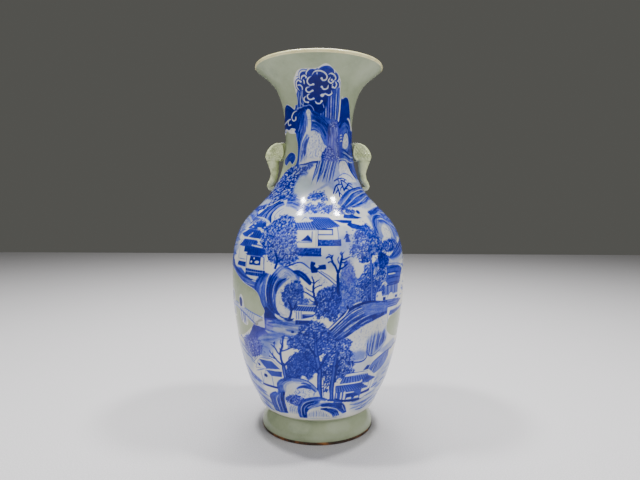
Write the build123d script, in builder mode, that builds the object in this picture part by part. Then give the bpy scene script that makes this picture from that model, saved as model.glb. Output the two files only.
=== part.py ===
"""Large celadon-ground porcelain vase with elephant-head handles and a raised white slip landscape.

The vase is thrown in sections that are luted together with slip: foot, base, lower body, upper body,
neck and mouth. Two handles, each a head, a trunk and two ears, are luted to the neck and shoulder, and
the landscape is a thin layer of white slip laid on the wall. Millimetres, +Z up, origin at the centre
of the foot's resting face, front of the vase towards -Y, handles on the X axis.
"""

import os
from math import cos, hypot, radians, sin

from build123d import *

os.makedirs("parts", exist_ok=True)

# ---------------------------------------------------------------- driving dimensions
WALL = 5.6  # wall thickness of the body, neck and mouth, square to the surface
RELIEF = 0.8  # height of the raised slip above the wall
SEAM = 1.2  # thickness of the slip in a luted joint

FOOT_RADIUS = 90.4
FOOT_INNER_RADIUS = 79.0
FOOT_RIM_HEIGHT = 5.0  # unglazed band that the vase stands on
FOOT_RIM_ROUND = 1.8
FOOT_WAIST_RADIUS = 79.5
FOOT_TOP = 32.0
BASE_RADIUS = 70.0
BASE_UNDERSIDE = 15.0
BASE_TOP = 25.0

BODY_BOTTOM = FOOT_TOP + SEAM
RELIEF_BOTTOM = 37.0
BELLY_SEAM = 214.0  # where the lower and the upper body meet
NECK_SEAM = 399.0
MOUTH_SEAM = 512.0
LIP_BOTTOM = 574.5
LIP_CENTRE = (98.5, 577.0)  # centre of the rounding of the lip, as (radius, height)
LIP_ROUND = 3.0

# Outer line of the wall from inside the foot's waist to the lip, as (radius, height)
OUTER_LINE = [
    (78.0, 28.5),
    (82.4, 33.2),
    (91.8, 42.0),
    (98.2, 55.0),
    (107.9, 75.0),
    (117.0, 100.0),
    (130.8, 160.0),
    (137.6, 220.0),
    (138.4, 250.0),
    (136.4, 280.0),
    (130.2, 310.0),
    (117.2, 335.0),
    (98.8, 355.0),
    (79.8, 375.0),
    (66.9, 395.0),
    (59.6, 415.0),
    (53.4, 465.0),
    (56.6, 510.0),
    (67.9, 543.0),
    (77.7, 556.0),
    (90.7, 567.0),
    (101.2, 575.8),
]

# Handles, in the plane through the vase's axis.
# Levels of the head from its crown down to the trunk's root: (inner edge, outer edge, height, half width)
HEAD_LEVELS = [
    (54.0, 69.0, 459.6, 5.5),
    (50.0, 76.4, 455.0, 10.4),
    (50.0, 82.8, 447.0, 12.6),
    (50.0, 85.6, 438.5, 12.4),
    (62.6, 83.8, 431.2, 9.6),
]
# Centre line of the trunk from its root down and round to its tip: (distance from the axis, height, radius)
TRUNK_LINE = [
    (73.2, 431.2, 9.6),
    (72.0, 423.0, 7.6),
    (71.5, 412.0, 5.4),
    (73.4, 401.5, 5.2),
    (77.4, 394.6, 4.6),
    (79.0, 389.8, 4.0),
    (75.6, 386.6, 3.6),
    (70.6, 388.4, 3.2),
]
# Outline of an ear on the side of the head: (distance from the axis, height)
EAR_OUTLINE = [
    (57.0, 456.0), (68.0, 457.5), (76.0, 450.0), (73.5, 439.5), (66.5, 436.0), (60.5, 431.0), (55.0, 440.0),
]
EAR_INSIDE = 6.0  # distances from the handle's own plane
EAR_OUTSIDE = 15.8
EAR_ROUND = 1.5

LAKE_AZIMUTH = -72  # azimuth 0 is the front and 90 the right handle
# Bare places in the slip of the body, as (azimuth, height), by the azimuth that each one faces
BODY_RESERVES = {
    LAKE_AZIMUTH: [
        (-104, 250), (-84, 264), (-68, 260), (-53, 246), (-40, 236), (-36, 219),
        (-34, 206), (-42, 192), (-47, 180), (-60, 163), (-84, 156), (-104, 170),
    ],
    76: [
        (52, 194), (62, 199), (84, 203), (102, 196), (104, 176), (88, 152), (70, 157), (56, 166), (50, 178),
    ],
    178: [(152, 262), (172, 276), (196, 262), (206, 232), (190, 206), (166, 202), (150, 226)],
    -100: [(-70, 402), (-80, 396), (-92, 388), (-108, 390), (-120, 395), (-132, 402)],
    112: [(98, 402), (104, 393), (114, 390), (126, 402)],
}
# Plank bridge over the left reserve, in slip
BRIDGE = [
    (-106, 206), (-84, 211), (-62, 212), (-48, 202), (-38, 190),
    (-42, 184), (-50, 194), (-63, 204), (-84, 203), (-106, 198),
]
# Outlines of the slip on the neck, by the azimuth they face
NECK_RELIEFS = {
    "cloud_peak_relief": (-8, [
        (-68, 399), (-60, 410), (-45, 419), (-36, 424), (-36, 450), (-41, 471),
        (-41, 509), (-34, 514), (-34, 541), (-28, 552), (-20, 558), (-3, 558),
        (7, 563), (17, 557), (25, 550), (30, 540), (34, 519), (34, 399),
    ]),
    "right_peak_relief": (66, [
        (34, 399), (34, 519), (43, 524.5), (51, 521), (60, 506),
        (68, 490), (82, 480), (97, 469), (102, 430), (98, 399),
    ]),
    "left_peak_relief": (-66, [
        (-41, 473), (-41, 507), (-49, 512), (-58, 515.5), (-68, 511), (-77, 498),
        (-92, 489), (-94, 477), (-80, 471), (-68, 476), (-55, 471),
    ]),
    "left_rock_relief": (-54, [
        (-66, 424), (-70, 431), (-60, 438), (-50, 442), (-40, 438), (-38, 430), (-44, 422), (-51, 427), (-58, 421),
    ]),
    "back_peak_relief": (180, [
        (126, 399), (132, 432), (134, 470), (145, 500), (160, 524), (178, 542),
        (196, 530), (206, 500), (222, 474), (229, 432), (228, 399),
    ]),
}


# ---------------------------------------------------------------- profile of the wall
def moved_line(line, distance):
    """The points of a line, each moved square to it: outwards if distance is positive."""
    moved = []
    for i, (r, z) in enumerate(line):
        before = line[max(i - 1, 0)]
        after = line[min(i + 1, len(line) - 1)]
        along = (after[0] - before[0], after[1] - before[1])
        length = hypot(*along)
        moved.append((r + distance * along[1] / length, z - distance * along[0] / length))
    return moved


def on_lip(turn):
    """Point of the lip's rounding, turned up from the horizontal."""
    return (LIP_CENTRE[0] + LIP_ROUND * cos(radians(turn)), LIP_CENTRE[1] + LIP_ROUND * sin(radians(turn)))


INNER_LINE = moved_line(OUTER_LINE, -WALL)[:-1]
RAISED_LINE = moved_line(OUTER_LINE, RELIEF)
OUTER_CURVE = Spline(*OUTER_LINE)

with BuildSketch(Plane.XZ) as wall_section:
    with BuildLine():
        outer_edge = Spline(*OUTER_LINE)
        inner_edge = Spline(*INNER_LINE, on_lip(140))
        ThreePointArc(outer_edge @ 1, on_lip(80), inner_edge @ 1)
        Line(inner_edge @ 0, outer_edge @ 0)
    make_face()

with BuildSketch(Plane.XZ) as relief_section:
    with BuildLine():
        wall_edge = Spline(*OUTER_LINE)
        raised_edge = Spline(*RAISED_LINE)
        Line(wall_edge @ 0, raised_edge @ 0)
        Line(wall_edge @ 1, raised_edge @ 1)
    make_face()


def wall_radius(height):
    """Radius of the wall's outer face at a height."""
    low, high = 0.0, 1.0
    for _ in range(30):
        middle = (low + high) / 2
        if (OUTER_CURVE @ middle).Y < height:
            low = middle
        else:
            high = middle
    return (OUTER_CURVE @ low).X


def turned(section, low, high):
    """A ring turned from the part of a section that lies between two heights."""
    with BuildPart() as ring:
        with BuildSketch(Plane.XZ):
            add(section.sketch)
            with Locations((0, (low + high) / 2)):
                Rectangle(4 * FOOT_RADIUS, high - low, mode=Mode.INTERSECT)
        revolve(axis=Axis.Z)
    return ring


def facing(azimuth):
    """Upright plane through the vase's axis that faces an azimuth, with its x along rising azimuth."""
    turn = radians(azimuth)
    return Plane(origin=(0, 0, 0), x_dir=(cos(turn), sin(turn), 0), z_dir=(sin(turn), -cos(turn), 0))


def outline_prism(outline, azimuth):
    """Solid that holds everything behind an outline on the wall, seen square on from one azimuth."""
    corners = [(wall_radius(height) * sin(radians(turn - azimuth)), height) for turn, height in outline]
    with BuildPart() as prism:
        with BuildSketch(facing(azimuth)):
            with BuildLine():
                Polyline(*corners, close=True)
            make_face()
        extrude(amount=2 * FOOT_RADIUS)
    return prism


def save(piece, name):
    piece.part.label = name
    export_step(piece.part, f"parts/{name}.step")


# ---------------------------------------------------------------- foot and base
with BuildPart() as foot_rim:
    with BuildSketch(Plane.XZ):
        with Locations(((FOOT_INNER_RADIUS + FOOT_RADIUS) / 2, FOOT_RIM_HEIGHT / 2)):
            Rectangle(FOOT_RADIUS - FOOT_INNER_RADIUS, FOOT_RIM_HEIGHT)
    revolve(axis=Axis.Z)
    fillet(foot_rim.edges().group_by(Axis.Z)[0], radius=FOOT_RIM_ROUND)
save(foot_rim, "foot_rim")

with BuildPart() as foot_ring:
    with BuildSketch(Plane.XZ):
        with BuildLine():
            flare = Spline(
                (FOOT_RADIUS, FOOT_RIM_HEIGHT),
                (FOOT_RADIUS - 0.2, 11.0),
                (FOOT_RADIUS - 3.4, 20.0),
                (FOOT_WAIST_RADIUS, FOOT_TOP),
            )
            Polyline(
                flare @ 1,
                (BASE_RADIUS, FOOT_TOP),
                (BASE_RADIUS, BASE_UNDERSIDE),
                (FOOT_INNER_RADIUS, BASE_UNDERSIDE),
                (FOOT_INNER_RADIUS, FOOT_RIM_HEIGHT),
                flare @ 0,
            )
        make_face()
    revolve(axis=Axis.Z)
save(foot_ring, "foot_ring")

with BuildPart() as base_disc:
    with BuildSketch(Plane.XY.offset(BASE_UNDERSIDE)):
        Circle(BASE_RADIUS)
    extrude(amount=BASE_TOP - BASE_UNDERSIDE)
save(base_disc, "base_disc")

with BuildPart() as foot_seam:
    with BuildSketch(Plane.XY.offset(FOOT_TOP)):
        Circle(FOOT_WAIST_RADIUS)
        Circle(FOOT_WAIST_RADIUS - WALL, mode=Mode.SUBTRACT)
    extrude(amount=SEAM)
save(foot_seam, "foot_luting_seam")

# ---------------------------------------------------------------- thrown sections and their seams
THROWN_BANDS = {
    "lower_body": (BODY_BOTTOM, BELLY_SEAM),
    "belly_luting_seam": (BELLY_SEAM, BELLY_SEAM + SEAM),
    "upper_body": (BELLY_SEAM + SEAM, NECK_SEAM),
    "neck_luting_seam": (NECK_SEAM, NECK_SEAM + SEAM),
    "neck": (NECK_SEAM + SEAM, MOUTH_SEAM),
    "mouth_luting_seam": (MOUTH_SEAM, MOUTH_SEAM + SEAM),
    "mouth": (MOUTH_SEAM + SEAM, LIP_BOTTOM),
    "lip": (LIP_BOTTOM, LIP_BOTTOM + 2 * WALL),
}
for band_name, (band_low, band_high) in THROWN_BANDS.items():
    save(turned(wall_section, band_low, band_high), band_name)

# The solid inside the wall's outer face, which trims what is luted to the outside
with BuildPart() as vase_core:
    with BuildSketch(Plane.XZ):
        with BuildLine():
            core_edge = Spline(*OUTER_LINE)
            Polyline(core_edge @ 1, (0, OUTER_LINE[-1][1]), (0, OUTER_LINE[0][1]), core_edge @ 0)
        make_face()
    revolve(axis=Axis.Z)

# ---------------------------------------------------------------- handles
with BuildPart() as head:
    for inner, outer, height, half_width in HEAD_LEVELS:
        with BuildSketch(Plane.XY.offset(height)):
            with Locations(((inner + outer) / 2, 0)):
                Ellipse((outer - inner) / 2, half_width)
    loft()
    add(vase_core.part, mode=Mode.SUBTRACT)

with BuildPart() as trunk:
    with BuildLine() as trunk_path:
        Spline(*[(distance, 0, height) for distance, height, _ in TRUNK_LINE])
    for distance, height, radius in TRUNK_LINE:
        centre = (distance, 0, height)
        along = trunk_path.edge() % trunk_path.edge().param_at_point(centre)
        with BuildSketch(Plane(origin=centre, x_dir=(0, 1, 0), z_dir=along)):
            Circle(radius)
    sweep(multisection=True)
    split(bisect_by=Plane.XY.offset(HEAD_LEVELS[-1][2]), keep=Keep.BOTTOM)
    add(vase_core.part, mode=Mode.SUBTRACT)

with BuildPart() as ear:
    with BuildSketch(Plane.XZ.offset(EAR_INSIDE)):
        with BuildLine():
            Spline(*EAR_OUTLINE, periodic=True)
        make_face()
    extrude(amount=EAR_OUTSIDE - EAR_INSIDE)
    fillet(ear.faces().sort_by(Axis.Y)[0].edges(), radius=EAR_ROUND)
    add(head.part, mode=Mode.SUBTRACT)
    add(vase_core.part, mode=Mode.SUBTRACT)


def placed(piece, mirrors, name):
    """Save a copy of a handle piece, mirrored in the planes given."""
    with BuildPart() as copy:
        add(piece.part)
        for plane in mirrors:
            with BuildPart(mode=Mode.PRIVATE) as turned_copy:
                mirror(copy.part, about=plane)
            add(turned_copy.part, mode=Mode.REPLACE)
    save(copy, name)
    return copy


handle_pieces = []
for side, side_mirrors in (("right", []), ("left", [Plane.YZ])):
    handle_pieces.append(placed(head, side_mirrors, f"{side}_head"))
    handle_pieces.append(placed(trunk, side_mirrors, f"{side}_trunk"))
    handle_pieces.append(placed(ear, side_mirrors, f"{side}_front_ear"))
    handle_pieces.append(placed(ear, side_mirrors + [Plane.XZ], f"{side}_back_ear"))


# ---------------------------------------------------------------- raised slip
def without(piece, others):
    """Cut other pieces away from a relief, so that it only touches them."""
    with BuildPart() as bared:
        add(piece.part)
        for other in others:
            add(other.part, mode=Mode.SUBTRACT)
    return bared


with BuildPart() as body_relief:
    add(turned(relief_section, RELIEF_BOTTOM, NECK_SEAM).part)
    for azimuth, outline in BODY_RESERVES.items():
        add(outline_prism(outline, azimuth).part, mode=Mode.SUBTRACT)
save(without(body_relief, handle_pieces), "body_relief")

with BuildPart() as bridge_relief:
    add(turned(relief_section, RELIEF_BOTTOM, NECK_SEAM).part)
    add(outline_prism(BODY_RESERVES[LAKE_AZIMUTH], LAKE_AZIMUTH).part, mode=Mode.INTERSECT)
    add(outline_prism(BRIDGE, LAKE_AZIMUTH).part, mode=Mode.INTERSECT)
save(bridge_relief, "bridge_relief")

earlier_pieces = list(handle_pieces)
for relief_name, (azimuth, outline) in NECK_RELIEFS.items():
    with BuildPart() as neck_relief:
        add(turned(relief_section, NECK_SEAM, LIP_BOTTOM).part)
        add(outline_prism(outline, azimuth).part, mode=Mode.INTERSECT)
    neck_piece = without(neck_relief, earlier_pieces)
    save(neck_piece, relief_name)
    earlier_pieces.append(neck_piece)
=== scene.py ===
"""Looks of the blue and white celadon vase: painted slip relief, elephant handles, glazes, studio.

Lengths are in millimetres, and in metres for the studio. A place on the wall is its azimuth in degrees,
0 at the front and growing to the right, and its height above the floor. The landscape is painted by brush
routines on an unrolled band of the wall, then read at the points of the relief skin, where a shader turns
its density into cobalt.
"""

from math import cos, hypot, pi, radians, sin

import bmesh
import bpy
import numpy as np
from mathutils import Euler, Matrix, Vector


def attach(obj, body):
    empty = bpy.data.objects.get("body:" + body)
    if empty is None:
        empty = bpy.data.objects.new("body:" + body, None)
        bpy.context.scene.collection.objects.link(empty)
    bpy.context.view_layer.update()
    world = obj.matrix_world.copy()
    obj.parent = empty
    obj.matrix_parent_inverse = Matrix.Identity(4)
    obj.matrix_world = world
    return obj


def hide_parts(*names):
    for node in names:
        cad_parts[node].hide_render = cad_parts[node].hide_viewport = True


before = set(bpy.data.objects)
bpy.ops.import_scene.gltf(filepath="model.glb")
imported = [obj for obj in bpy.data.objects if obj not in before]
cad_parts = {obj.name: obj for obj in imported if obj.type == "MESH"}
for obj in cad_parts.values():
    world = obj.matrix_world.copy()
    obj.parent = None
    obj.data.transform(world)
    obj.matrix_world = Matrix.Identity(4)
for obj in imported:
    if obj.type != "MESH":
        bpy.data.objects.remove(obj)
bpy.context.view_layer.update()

MM = 0.001

# The wall's outline: radius and height from the foot to the lip.
OUTER_LINE = [
    (78.0, 28.5), (82.4, 33.2), (91.8, 42.0), (98.2, 55.0), (107.9, 75.0), (117.0, 100.0),
    (130.8, 160.0), (137.6, 220.0), (138.4, 250.0), (136.4, 280.0), (130.2, 310.0), (117.2, 335.0),
    (98.8, 355.0), (79.8, 375.0), (66.9, 395.0), (59.6, 415.0), (53.4, 465.0), (56.6, 510.0),
    (67.9, 543.0), (77.7, 556.0), (90.7, 567.0), (101.2, 575.8),
]
CURVE_POINTS = 6000


def cubic_through(points):
    """A dense run of points on the cubic spline through a few, spaced by its chords."""
    p = np.array(points)
    t = np.concatenate([[0], np.cumsum(np.hypot(*np.diff(p, axis=0).T))])
    h = np.diff(t)
    system, turn = np.eye(len(p)), np.zeros_like(p)
    for i in range(1, len(p) - 1):
        system[i, i - 1 : i + 2] = h[i - 1], 2 * (h[i - 1] + h[i]), h[i]
        turn[i] = 6 * ((p[i + 1] - p[i]) / h[i] - (p[i] - p[i - 1]) / h[i - 1])
    bend = np.linalg.solve(system, turn)
    x = np.linspace(0, t[-1], CURVE_POINTS)
    i = np.clip(np.searchsorted(t, x) - 1, 0, len(h) - 1)
    left, right, size = (x - t[i])[:, None], (t[i + 1] - x)[:, None], h[i][:, None]
    curve = (bend[i] * right**3 + bend[i + 1] * left**3) / (6 * size)
    curve = curve + (p[i] / size - bend[i] * size / 6) * right
    return curve + (p[i + 1] / size - bend[i + 1] * size / 6) * left


WALL_LINE = cubic_through(OUTER_LINE)


def wall_radius(z):
    """Radius of the outer wall at a height."""
    return np.interp(z, WALL_LINE[:, 1], WALL_LINE[:, 0])


def curve_between(a, b, c, d, t):
    """Points from b to c on the smooth curve through four points, at shares t of the way."""
    return 0.5 * (2 * b + (c - a) * t + (2 * a - 5 * b + 4 * c - d) * t**2 + (3 * b - a - 3 * c + d) * t**3)


def smooth(path, step=0.8, closed=False):
    """Points of a smooth curve through a few (azimuth, height) points, about step mm apart."""
    p = np.array(path, float)
    if len(p) == 2 and not closed:
        n = max(2, int(spacing(p[0], p[1]) / step) + 1)
        return p[0] + (p[1] - p[0]) * np.linspace(0, 1, n)[:, None]
    if closed:
        q = np.vstack([p[-1], p, p[0], p[1]])
    else:
        q = np.vstack([2 * p[0] - p[1], p, 2 * p[-1] - p[-2]])
    out = []
    for i in range(1, len(q) - 2):
        n = max(2, int(spacing(q[i], q[i + 1]) / step) + 1)
        t = np.linspace(0, 1, n, endpoint=False)[:, None]
        out.append(curve_between(*q[i - 1 : i + 3], t))
    if not closed:
        out.append(p[-1:])
    return np.vstack(out)


def spacing(a, b):
    """Distance in millimetres between two (azimuth, height) points on the wall."""
    k = wall_radius((a[1] + b[1]) / 2) * pi / 180
    return hypot((a[0] - b[0]) * k, a[1] - b[1])


def read_grid(grid, x, y, ease=False):
    """A grid that wraps round sideways, read between its cells at columns x and rows y."""
    i, j = x.astype(int), y.astype(int)
    fx, fy = x - i, (y - j)[:, None]
    if ease:
        fx, fy = fx * fx * (3 - 2 * fx), fy * fy * (3 - 2 * fy)
    n = grid.shape[1]
    below = grid[j][:, i % n] * (1 - fx) + grid[j][:, (i + 1) % n] * fx
    above = grid[j + 1][:, i % n] * (1 - fx) + grid[j + 1][:, (i + 1) % n] * fx
    return below * (1 - fy) + above * fy


# ------------------------------------------------------------------ the painter
PIXEL = 0.5  # mm of wall to a pixel of the band
SEED = 1
ANY_LEAN = (0, 180)  # dabs that lie every way
SWELL_START, SWELL_END = 0.25, 0.35  # shares of a stroke over which it widens and narrows
STROKE_CHUNK = 10  # points of a stroke measured at a time
FAR = 99.0
TINY = 1e-9


class Painting:
    """Cobalt density over a band of the wall, painted in (azimuth, height).

    The tone layer is the density, the violet layer turns it towards violet, and grey is a thin grey wash.
    """

    def __init__(self, low, high, radius):
        self.low, self.pixel = low, PIXEL
        self.columns = int(round(2 * pi * radius / PIXEL / 4)) * 4
        self.rows = int(round((high - low) / PIXEL)) + 1
        self.height = low + (high - low) * np.arange(self.rows) / (self.rows - 1)
        self.scale = wall_radius(self.height) * pi / 180
        self.place = (0.0, 0.0, 1.0)
        self.tone = np.zeros((self.rows, self.columns))
        self.violet = np.zeros((self.rows, self.columns))
        self.grey = np.zeros((self.rows, self.columns))
        self.rng = np.random.default_rng(SEED)
        self.grain = self.noise(1.6) * 0.5 + self.noise(4.0) * 0.5
        self.cloudy = self.noise(14.0) * 0.6 + self.noise(6.0) * 0.4

    def put(self, azimuth=0.0, height=0.0, mirror=1.0):
        """Place what is painted next: mirrored if mirror is -1, then moved."""
        self.place = (azimuth, height, mirror)

    def placed(self, points):
        """Points mirrored and moved as put asks."""
        azimuth, height, mirror = self.place
        return np.array(points, float) * [mirror, 1.0] + [azimuth, height]

    def noise(self, size):
        """A smooth random field from 0 to 1 whose blotches are about size mm."""
        n = int(self.columns * self.pixel / size)
        m = int(self.rows * self.pixel / size) + 3
        grid = self.rng.random((m, n))
        x = np.arange(self.columns) * n / self.columns
        y = np.arange(self.rows) * self.pixel / size
        return read_grid(grid, x, y, ease=True)

    def window(self, points, margin):
        """Rows, columns, azimuths and heights of the part of the band near some points."""
        z0, z1 = points[:, 1].min() - margin, points[:, 1].max() + margin
        r0 = max(int((z0 - self.low) / self.pixel), 0)
        r1 = min(int((z1 - self.low) / self.pixel) + 2, self.rows)
        if r1 <= r0:
            return None
        reach = margin / self.scale[r0:r1].min()
        per = self.columns / 360
        c0 = int((points[:, 0].min() - reach + 180) * per)
        c1 = int((points[:, 0].max() + reach + 180) * per) + 2
        columns = np.arange(c0, c1)
        return np.arange(r0, r1), columns % self.columns, -180 + columns / per, self.height[r0:r1]

    def lay(self, rows, columns, cover, tone, violet, layer=None):
        """Lay paint by its cover, on the tone or another layer, with its share of violet if it has one."""
        target = self.tone if layer is None else layer
        at = np.ix_(rows, columns)
        target[at] = target[at] * (1 - cover) + tone * cover
        if violet is not None:
            self.violet[at] = self.violet[at] * (1 - cover) + violet * cover

    def stroke(self, path, width, tone, ends=(0.35, 0.15), cover=1.0, straight=False, soft=0.5, dry=0.0,
               violet=None):
        """One brush stroke: its width swells in the middle and ends at the given shares of it."""
        path = self.placed(path)
        if straight:
            points = np.vstack([smooth(path[i : i + 2]) for i in range(len(path) - 1)])
        else:
            points = smooth(path)
        n = len(points)
        t = np.linspace(0, 1, n)
        rise = ends[0] + (1 - ends[0]) * t / SWELL_START
        fall = ends[1] + (1 - ends[1]) * (1 - t) / SWELL_END
        swell = np.minimum(1, np.minimum(rise, fall))
        half = width / 2 * swell
        margin = width / 2 + 1.0 + soft
        found = self.window(points, margin)
        if found is None:
            return
        rows, columns, azimuths, heights = found
        reach = np.full((len(rows), len(columns)), FAR)
        for s in range(0, n - 1, STROKE_CHUNK - 1):
            part, wide = points[s : s + STROKE_CHUNK], half[s : s + STROKE_CHUNK]
            z0, z1 = part[:, 1].min() - margin, part[:, 1].max() + margin
            i0, i1 = np.searchsorted(heights, [z0, z1])
            if i1 <= i0:
                continue
            k = self.scale[rows[i0:i1]]
            side = margin / k.min()
            j0, j1 = np.searchsorted(azimuths, [part[:, 0].min() - side, part[:, 0].max() + side])
            if j1 <= j0:
                continue
            ex = (part[1:, 0] - part[:-1, 0]) * k[:, None, None]
            ez = part[1:, 1] - part[:-1, 1]
            dx = (azimuths[j0:j1][None, :, None] - part[:-1, 0]) * k[:, None, None]
            dz = heights[i0:i1][:, None, None] - part[:-1, 1]
            t = np.clip((dx * ex + dz * ez) / np.maximum(ex * ex + ez * ez, TINY), 0, 1)
            dx, dz = dx - t * ex, dz - t * ez
            near = (np.sqrt(dx * dx + dz * dz) - wide[:-1] - t * (wide[1:] - wide[:-1])).min(axis=2)
            reach[i0:i1, j0:j1] = np.minimum(reach[i0:i1, j0:j1], near)
        mask = np.clip(0.5 - reach / soft, 0, 1) * cover
        if dry:
            mask = mask * (1 - dry * np.clip(self.grain[np.ix_(rows, columns)] * 5 - 2.4, 0, 1))
        self.lay(rows, columns, mask, tone, violet)

    def bar(self, path, width, tone, straight=False):
        """A stroke as wide at its ends as in its middle."""
        self.stroke(path, width, tone, ends=(1, 1), straight=straight)

    def strokes(self, rows, **style):
        """Brush strokes of one style, each a row of its path, width and tone."""
        for path, width, tone in rows:
            self.stroke(path, width, tone, **style)

    def distance(self, outline, margin=3.0):
        """Signed distance in mm from a closed outline, positive inside, over its window."""
        o = self.placed(outline)
        found = self.window(o, margin)
        if found is None:
            return np.arange(1), np.arange(1), np.full((1, 1), -FAR)
        rows, columns, azimuths, heights = found
        k = self.scale[rows][:, None]
        inside = np.zeros((len(rows), len(columns)), bool)
        least = np.full((len(rows), len(columns)), np.inf)
        a, z = azimuths[None, :], heights[:, None]
        for (a0, z0), (a1, z1) in zip(o, np.roll(o, -1, axis=0)):
            if z0 != z1:
                cross = ((z0 > z) != (z1 > z)) & (a < (a1 - a0) * (z - z0) / (z1 - z0) + a0)
                inside ^= cross
            ex, ez = (a1 - a0) * k, z1 - z0
            px, pz = (a - a0) * k, z - z0
            t = np.clip((px * ex + pz * ez) / np.maximum(ex * ex + ez * ez, TINY), 0, 1)
            least = np.minimum(least, (px - t * ex) ** 2 + (pz - t * ez) ** 2)
        return rows, columns, np.where(inside, 1, -1) * np.sqrt(least)

    def fill(self, outline, tone, soft=0.6, cover=1.0, round_=False, mottle=0.0, violet=None,
             layer=None, rough=0.0):
        """A wash inside an outline, its edge softened over soft mm and ragged by up to rough mm."""
        if round_:
            outline = smooth(outline, 2.0, closed=True)
        rows, columns, d = self.distance(outline, margin=soft + rough + 1)
        if rough:
            d = d + rough * (2.4 * self.grain[np.ix_(rows, columns)] - 1.2)
        mask = np.clip(0.5 + d / soft, 0, 1) * cover
        if mottle:
            mask = mask * (1 - mottle * self.cloudy[np.ix_(rows, columns)])
        self.lay(rows, columns, mask, tone, violet, layer)

    def dabs(self, points, length, width, lean, tone, cover=1.0):
        """Many short dabs, each at its own lean in degrees and its own tone."""
        m = len(points)
        leans = np.radians(self.rng.uniform(lean[0], lean[1], m))
        tones = self.rng.uniform(tone[0], tone[1], m)
        sizes = self.rng.uniform(0.7, 1.2, m)
        for (a, z), angle, dark, size in zip(points, leans, tones, sizes):
            self.dab(a, z, length * size, width * size, angle, dark, cover)

    def dab(self, a, z, length, width, angle, tone, cover=1.0):
        """One oval touch of the brush, its long side at an angle in radians from level."""
        a, z = self.placed((a, z))
        reach = length / 2 + 0.6
        row = (z - self.low) / self.pixel
        r0, r1 = int(row - reach / self.pixel), int(row + reach / self.pixel) + 2
        if r0 < 0 or r1 > self.rows:
            return
        k = self.scale[min(max(int(row), 0), self.rows - 1)]
        per = self.columns / 360
        c0, c1 = int((a + 180 - reach / k) * per), int((a + 180 + reach / k) * per) + 2
        columns = np.arange(c0, c1)
        dx = (-180 + columns / per - a) * k
        dz = (self.height[r0:r1] - z)[:, None]
        u = dx * cos(angle) + dz * sin(angle)
        v = -dx * sin(angle) + dz * cos(angle)
        d = np.sqrt((u / (length / 2)) ** 2 + (v / (width / 2)) ** 2)
        mask = np.clip((1.15 - d) * width / 2 / self.pixel * 0.9, 0, 1) * cover
        columns = columns % self.columns
        self.tone[r0:r1, columns] = self.tone[r0:r1, columns] * (1 - mask) + tone * mask

    def scatter(self, outline, spacing_mm, round_=True):
        """Random places inside an outline, about spacing_mm apart."""
        if round_:
            outline = smooth(outline, 2.0, closed=True)
        rows, columns, d = self.distance(outline)
        area = (d > 0).sum() * self.pixel**2
        n = int(area / spacing_mm**2)
        inside = np.argwhere(d > 0)
        if not len(inside) or n < 1:
            return np.zeros((0, 2))
        pick = inside[self.rng.integers(0, len(inside), n)]
        azimuth, height, mirror = self.place
        a = (-180 + columns[pick[:, 1]] * 360 / self.columns - azimuth + 180) % 360 - 180
        a = a * mirror
        z = self.height[rows[pick[:, 0]]] - height
        jitter = self.rng.uniform(-0.3, 0.3, (n, 2))
        return np.stack([a + jitter[:, 0], z + jitter[:, 1]], 1)


# ------------------------------------------------------------------ motifs
def shifted(path, da, dz):
    """A path moved by da degrees and dz mm."""
    return [(a + da, z + dz) for a, z in path]


def outline_round(centre, offsets):
    """An outline given by its points' offsets in degrees and mm from a centre."""
    a, z = centre
    return [(a + da, z + dz) for da, dz in offsets]


def between_paths(first, second, share):
    """A path part of the way between two paths with the same number of points."""
    return [(a + (c - a) * share, z + (d - z) * share) for (a, z), (c, d) in zip(first, second)]


def dots(p, outline, gap, tone, length, width, lean):
    """Small dabs scattered over a pale cliff."""
    p.dabs(p.scatter(outline, gap), length, width, lean, tone)


def foliage(p, outline, gap, under, tone, size, white=0.16):
    """Leaves: a mottled wash under dark dabs, with small pale gaps."""
    p.fill(outline, under, soft=2.0, round_=True, mottle=0.5, cover=0.9, rough=2.4)
    p.dabs(p.scatter(outline, gap), size, size * 0.5, ANY_LEAN, tone)
    p.dabs(p.scatter(outline, gap * 1.7), size * 0.9, size * 0.34, ANY_LEAN, (white, white + 0.15))
    edge = smooth(outline, 3.0, closed=True)
    spread = p.rng.uniform(-1.4, 1.4, edge.shape) * [0.7, 1.2]
    p.dabs(edge + spread, size * 0.9, size * 0.42, ANY_LEAN, tone)


def quad(corners, u, v):
    """Point of a patch at shares u across and v up; its corners run round from the low left one."""
    (a0, z0), (a1, z1), (a2, z2), (a3, z3) = corners
    low = (a0 + (a1 - a0) * u, z0 + (z1 - z0) * u)
    high = (a3 + (a2 - a3) * u, z3 + (z2 - z3) * u)
    return (low[0] + (high[0] - low[0]) * v, low[1] + (high[1] - low[1]) * v)


def roof(p, corners, tiles, tone, base, ridge, eave):
    """A tiled roof: a wash, tile rows down it, and a pale ridge and eave with dark lines."""
    p.fill(corners, base)
    for i in range(tiles + 1):
        u = i / tiles
        p.stroke([quad(corners, u, 0.02), quad(corners, u, 0.98)], 1.25, tone, ends=(0.9, 0.9))
    for v, wide in ((1.0, ridge), (0.0, eave)):
        line = [quad(corners, 0, v), quad(corners, 1, v)]
        up = 0.6 * wide if v else -0.6 * wide
        p.bar(shifted(line, 0, up), wide, 0.04)
        p.stroke(shifted(line, 0, up * 2.1), 0.9, 0.85, ends=(0.8, 0.6))


def wall(p, corners, line):
    """A white wall with a thin outline of the given tone."""
    p.fill(corners, 0.05)
    p.bar(corners + [corners[0]], 0.9, line, straight=True)


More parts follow.
